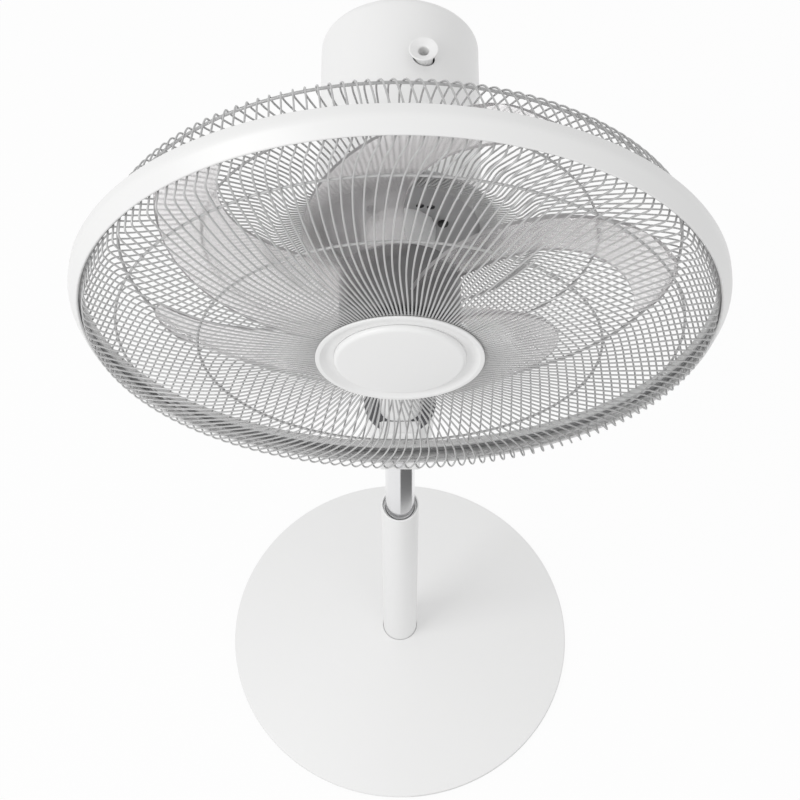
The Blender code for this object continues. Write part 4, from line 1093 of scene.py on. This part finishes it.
@dataclass
class MotorHousing:
    """White cup over the motor, its face plates, the swing knob and the shroud."""

    wall: float = 0.0025
    fillet: float = 0.009
    rear_radius: float = 0.0576
    crown: float = 0.005
    knob_hole: float = 0.0080
    knob_x: float = 0.0165
    knob_y: float = 0.0454
    knob_neck: float = 0.0066
    knob_bore: float = 0.0039
    knob_bore_depth: float = 0.0115
    knob_bore_mouth: float = 0.0030
    knob_dish: float = 0.0024
    knob_dish_land: float = 0.0006
    knob_rim: float = 0.0010
    knob_flare: float = 0.0042
    knob_neck_bottom: float = 0.033
    knob_stem_top: float = 0.036
    knob_stem: float = 0.004
    screw_hole: float = 0.0021
    hole_reach: float = 0.01
    opening_depth: float = 0.03
    sleeve_room: float = 0.001
    shroud_wall: float = 0.0022
    shroud_top: float = 0.02
    shroud_cut_reach: float = 0.1
    shaft_bore: float = 0.0123
    face_edge: float = 0.0008
    plate_edge: float = 0.001
    slot_reach: float = 0.001
    slot_radius: float = 0.0028
    slots: tuple[tuple[float, float], ...] = ((0.0295, 28.0), (0.0325, 41.0))
    nut_room: float = 0.0005
    nut_taper: float = 0.0015
    nut_front_fillet: float = 0.002
    nut_skirt: float = 0.003
    nut_rear_fillet: float = 0.0006
    grip_flats: int = 12

    def cup(self) -> bmesh.types.BMesh:
        """The housing's thin cup.

        Returns:
            The shape.
        """
        box = Extent("motor_housing")
        wall = self.wall
        rear = box.high.y - self.crown
        return fan_lathe([
            (0.0, box.high.y), (self.rear_radius, rear, self.fillet), (box.radius, box.low.y),
            (box.radius - wall, box.low.y), (self.rear_radius - wall, rear - wall, self.fillet - wall),
            (0.0, box.high.y - wall),
        ], FINE, 12)

    def build(self) -> None:
        """Model the housing and what shows of its fittings."""
        housing = add_piece("housing_cup", self.cup(), [WHITE_PLASTIC], "head",
                            ["motor_housing"])
        box = Extent("motor_housing")
        rear = box.high.y
        pole = (0.0, 0.0, 0.0)
        knob_place = (self.knob_x, self.knob_y, 0.0)
        knob = Extent("swing_knob")
        top = knob.high.z
        sleeve = Extent("swing_sleeve")
        depth = self.opening_depth
        for tool in (
            cylinder(self.screw_hole, rear - self.hole_reach, rear + self.hole_reach),
            cylinder(self.knob_hole, FAN_HEIGHT + depth, top, Axis.POLE, knob_place),
            cylinder(sleeve.radius + self.sleeve_room, sleeve.low.z, FAN_HEIGHT - depth, Axis.POLE, pole),
        ):
            cut_with(housing, tool)
        hole = self.knob_bore
        neck = self.knob_neck
        stem = self.knob_stem
        bottom = top - self.knob_bore_depth
        add_piece("swing_knob_dish", lathe([
            (0.0, knob.low.z), (stem, knob.low.z), (stem, top - self.knob_stem_top),
            (neck, top - self.knob_neck_bottom), (neck, top - self.knob_flare, 0.002),
            (knob.radius, top - self.knob_rim, 0.0005), (knob.radius, top, 0.0005),
            (knob.radius - self.knob_rim, top, 0.0006),
            (hole + self.knob_dish_land, top - self.knob_dish, 0.0008),
            (hole, top - self.knob_bore_mouth), (hole, bottom), (0.0, bottom),
        ], MEDIUM, centre=knob_place), [WHITE_PLASTIC], "knob", ["swing_knob"])
        shroud = Extent("swing_shroud")
        inside = shroud.radius - self.shroud_wall
        ring = lathe([
            (inside, shroud.low.z), (shroud.radius, shroud.low.z, 0.0006),
            (shroud.radius, FAN_HEIGHT - self.shroud_top), (inside, FAN_HEIGHT - self.shroud_top),
        ], MEDIUM)
        shroud_piece = add_piece("swing_shroud_ring", ring, [WHITE_PLASTIC], "head",
                                 ["swing_shroud"])
        reach = self.shroud_cut_reach
        cut_with(shroud_piece, cylinder(box.radius + GAP, -reach, reach, segments=FINE))
        cover = Extent("housing_front_cover")
        bore = self.shaft_bore
        face = add_piece("housing_face", fan_lathe([
            (bore, cover.low.y), (cover.radius, cover.low.y, self.face_edge),
            (cover.radius, cover.high.y), (bore, cover.high.y),
        ], MEDIUM), [WHITE_PLASTIC], "head", ["housing_front_cover"])
        plate = Extent("grille_mount_plate")
        disc = add_piece("grille_mount_disc", fan_lathe([
            (bore, plate.low.y), (plate.radius, plate.low.y, self.plate_edge),
            (plate.radius, plate.high.y), (bore, plate.high.y),
        ], FINE), [MID_GREY_PLASTIC], "head", ["grille_mount_plate"])
        # The slots' walls take the dark plastic: painted shade inside the holes.
        for radius, turn in self.slots:
            centre = polar(radius, 0.0, math.radians(turn))
            start = plate.low.y - self.slot_reach
            for piece in (disc, face):
                cut_with(piece, cylinder(self.slot_radius, start, cover.high.y + self.slot_reach,
                                         centre=centre), DARK_PLASTIC)
        nut = Extent("grille_lock_nut")
        bore += self.nut_room
        add_piece("grille_lock_ring", fan_lathe([
            (bore, nut.low.y), (nut.radius - self.nut_taper, nut.low.y, self.nut_front_fillet),
            (nut.radius, nut.high.y - self.nut_skirt, self.nut_rear_fillet),
            (nut.radius, nut.high.y), (bore, nut.high.y),
        ], self.grip_flats), [LIGHT_GREY_PLASTIC], "head", ["grille_lock_nut"])


def cut_with(
    obj: bpy.types.Object, tool_shape: bmesh.types.BMesh, finish: Finish | None = None
) -> None:
    """Cut a tool's space from a piece and keep the result as its mesh.

    Args:
        obj: The piece.
        tool_shape: The tool, which is freed.
        finish: Finish of the cut's walls, where it isn't the piece's own.
    """
    bmesh.ops.recalc_face_normals(tool_shape, faces=tool_shape.faces)
    tool_mesh = mesh_from("tool", tool_shape)
    tool = put_in_scene("tool", tool_mesh)
    modifier = obj.modifiers.new("cut", "BOOLEAN")
    modifier.operation = "DIFFERENCE"
    modifier.object = tool
    if finish:
        tool_mesh.materials.append(finish.material())
        modifier.material_mode = "TRANSFER"
    bpy.context.view_layer.update()
    evaluated = obj.evaluated_get(bpy.context.evaluated_depsgraph_get())
    mesh = bpy.data.meshes.new_from_object(evaluated)
    obj.modifiers.clear()
    obj.data = mesh
    bpy.data.objects.remove(tool)


class Dressing:
    """Finishes for the nodes that keep their own shape."""

    KEPT = {
        ZINC: ("base_plate", "tube_flange", "base_bolt", "tube_plug", "tilt_pin", "tilt_washer_left",
               "tilt_washer_right", "motor_shaft", "swing_crank", "housing_screw"),
        IRON: ("base_weight", "motor_stator", "motor_rotor"),
        ALUMINIUM: ("tilt_bracket", "motor_end_front", "motor_end_rear", "swing_sleeve"),
        DARK_PLASTIC: ("tube_shoe", "gearbox", "run_capacitor"),
        WHITE_PLASTIC: ("pin_cap_left", "pin_cap_right"),
        BLACK_STEEL: ("plate_screw_1", "plate_screw_2", "plate_screw_3"),
        RUBBER: ("cord_gland",),
        BOARD: ("control_board",),
    }

    def build(self) -> None:
        """Give each kept node its finish."""
        for finish, names in self.KEPT.items():
            for name in names:
                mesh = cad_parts[name].data
                mesh.materials.clear()
                mesh.materials.append(finish.material())
                LOG.info("%s: dressed in %s", name, finish.name)


@dataclass
class Studio:
    """Camera at the photograph's view, pale floor and soft light."""

    camera_place: tuple[float, float, float] = (0.0, -0.7966, 2.0998)
    camera_pitch: float = 27.77
    lens: float = 86.8
    sensor: float = 36.0
    near_clip: float = 0.05
    far_clip: float = 100.0
    aim_height: float = 0.7
    floor_tone: float = 0.80
    flag_tone: float = 0.16
    floor_size: float = 30.0
    floor_show: float = 0.93
    key_place: tuple[float, float, float] = (-1.9, -1.1, 2.6)
    key_size: float = 1.4
    key_power: float = 27.5
    fill_place: tuple[float, float, float] = (1.3, -2.2, 1.7)
    fill_size: float = 1.6
    fill_power: float = 4.5
    flag_low: tuple[float, float] = (0.012, -0.62)
    flag_high: tuple[float, float] = (0.62, 0.05)
    flag_height: float = 0.002
    world_strength: float = 0.79

    def camera(self) -> None:
        """Place the camera."""
        data = bpy.data.cameras.new("camera")
        data.lens = self.lens
        data.sensor_width = self.sensor
        data.clip_start = self.near_clip
        data.clip_end = self.far_clip
        obj = put_in_scene("camera", data)
        obj.location = self.camera_place
        obj.rotation_euler = (math.radians(self.camera_pitch), 0.0, 0.0)
        bpy.context.scene.camera = obj

    def white_where_seen(self, tree: bpy.types.NodeTree) -> bpy.types.NodeSocket:
        """Mask that is 1 for the camera's, mirrored and refracted rays.

        Args:
            tree: The tree that it is built in.

        Returns:
            The mask's socket.
        """
        path = shader_node(tree, "LightPath")
        first = shader_node(tree, "Math", "MAXIMUM")
        second = shader_node(tree, "Math", "MAXIMUM")
        connect(tree, (path.outputs["Is Camera Ray"], first.inputs[0]),
                (path.outputs["Is Glossy Ray"], first.inputs[1]),
                (first.outputs[0], second.inputs[0]),
                (path.outputs["Is Transmission Ray"], second.inputs[1]))
        return second.outputs[0]

    def floor(self) -> None:
        """Make the floor: white where it is seen, and still holding a soft shadow."""
        shape = bmesh.new()
        bmesh.ops.create_grid(shape, x_segments=1, y_segments=1, size=self.floor_size / 2.0)
        mesh = mesh_from("studio_floor", shape)
        material = bpy.data.materials.new("studio_floor")
        material.use_nodes = True
        tree = material.node_tree
        tree.nodes.clear()
        diffuse = shader_node(tree, "BsdfDiffuse", Color=(*[self.floor_tone] * 3, 1.0))
        glow = shader_node(tree, "Emission", Color=(1.0, 1.0, 1.0, 1.0))
        mix = shader_node(tree, "MixShader")
        scale = shader_node(tree, "Math", "MULTIPLY")
        scale.inputs[1].default_value = self.floor_show
        out = shader_node(tree, "OutputMaterial")
        connect(tree, (self.white_where_seen(tree), scale.inputs[0]),
                (scale.outputs[0], mix.inputs["Fac"]), (diffuse.outputs["BSDF"], mix.inputs[1]),
                (glow.outputs["Emission"], mix.inputs[2]),
                (mix.outputs["Shader"], out.inputs["Surface"]))
        mesh.materials.append(material)
        put_in_scene("studio_floor", mesh)

    def world(self) -> None:
        """Make the world a soft white fill that shows as plain white."""
        world = bpy.data.worlds.new("studio_world")
        world.use_nodes = True
        tree = world.node_tree
        back = tree.nodes["Background"]
        back.inputs["Color"].default_value = (1.0, 1.0, 1.0, 1.0)
        level = shader_node(tree, "MapRange", To_Min=self.world_strength, To_Max=1.0)
        connect(tree, (self.white_where_seen(tree), level.inputs["Value"]),
                (level.outputs["Result"], back.inputs["Strength"]))
        bpy.context.scene.world = world

    def lamp(self, name: str, place: Sequence[float], size: float, power: float) -> None:
        """Add a square soft lamp that faces the head.

        Args:
            name: The lamp's name.
            place: Where it stands.
            size: Its side.
            power: Its power in watts.
        """
        data = bpy.data.lights.new(name, "AREA")
        data.size = size
        data.energy = power
        obj = put_in_scene(name, data)
        obj.location = place
        aim = Vector((0.0, 0.0, self.aim_height)) - Vector(place)
        obj.rotation_euler = aim.to_track_quat("-Z", "Y").to_euler()

    def flag(self) -> None:
        """Lay a dark card on the floor that only mirrors see, for the tube's dark streak."""
        shape = bmesh.new()
        low = Vector((*self.flag_low, self.flag_height))
        high = Vector((*self.flag_high, self.flag_height))
        size = high - low
        bmesh.ops.create_grid(shape, x_segments=1, y_segments=1, size=0.5,
                              matrix=Matrix.Translation((low + high) / 2.0)
                              @ Matrix.Diagonal((size.x, size.y, 1.0, 1.0)))
        mesh = mesh_from("studio_flag", shape)
        material = bpy.data.materials.new("studio_flag")
        material.use_nodes = True
        shader = material.node_tree.nodes["Principled BSDF"]
        set_inputs(shader, Base_Color=(*[self.flag_tone] * 3, 1.0), Specular_IOR_Level=0.0)
        mesh.materials.append(material)
        obj = put_in_scene("studio_flag", mesh)
        obj.visible_camera = False
        obj.visible_diffuse = False
        obj.visible_transmission = False
        obj.visible_shadow = False

    def build(self) -> None:
        """Set up the view transform, camera, floor, world and lamps."""
        bpy.context.scene.view_settings.view_transform = "Standard"
        self.camera()
        self.floor()
        self.world()
        self.flag()
        self.lamp("key_light", self.key_place, self.key_size, self.key_power)
        self.lamp("fill_light", self.fill_place, self.fill_size, self.fill_power)


FRONT_KNOTS = (
    (0.0540, -0.1648, 1.4), (0.0674, -0.1641, 0.0), (0.0850, -0.1633, -1.5),
    (0.1030, -0.1625, -2.3), (0.1200, -0.1616, -2.35), (0.1363, -0.1604, -2.0),
    (0.1640, -0.1555, -0.9), (0.1890, -0.1500, 0.5), (0.1965, -0.1486, 1.05),
    (0.2045, -0.1470, 1.75), (0.2105, -0.1460, 2.45), (0.2134, -0.1442, 3.0),
    (0.2143, -0.1405, 3.5), (0.2150, -0.1345, 3.9),
)
REAR_KNOTS = (
    (0.0560, -0.0628, 0.0), (0.0740, -0.0700, 0.0), (0.0870, -0.0735, 0.0),
    (0.0945, -0.0702, -0.1), (0.1015, -0.0668, -0.2), (0.1130, -0.0672, -0.2),
    (0.1380, -0.0698, -0.2), (0.1650, -0.0750, -0.2), (0.1850, -0.0790, 0.0),
    (0.1930, -0.0806, 0.4), (0.1985, -0.0826, 1.0), (0.2020, -0.0862, 1.5), (0.2050, -0.0925, 1.9),
    (0.2080, -0.1010, 2.4), (0.2112, -0.1110, 2.9), (0.2142, -0.1235, 3.6),
)
REAR_HOOPS = (
    (0.0570, -0.0618, 0.0024), (0.1380, -0.0712, 0.0018), (0.1945, -0.0822, 0.0022),
)
FRONT_HOOPS = (
    (0.0545, -0.1635, 0.0018), (0.1363, -0.1590, 0.0018), (0.1918, -0.1480, 0.0018),
    (0.2156, -0.1338, 0.0020),
)


def main() -> None:
    """Build every sub-assembly in order."""
    logging.basicConfig(level=logging.INFO, format="%(message)s")
    Studio().build()
    Base().build()
    Pole().build()
    ControlPod().build()
    Neck().build()
    MotorHousing().build()
    Guard().build()
    WireGrille(Grille.REAR, REAR_KNOTS, REAR_HOOPS).build()
    WireGrille(Grille.FRONT, FRONT_KNOTS, FRONT_HOOPS).build()
    CentreCap().build()
    FanBlades().build()
    Dressing().build()


if __name__ == "__main__":
    main()
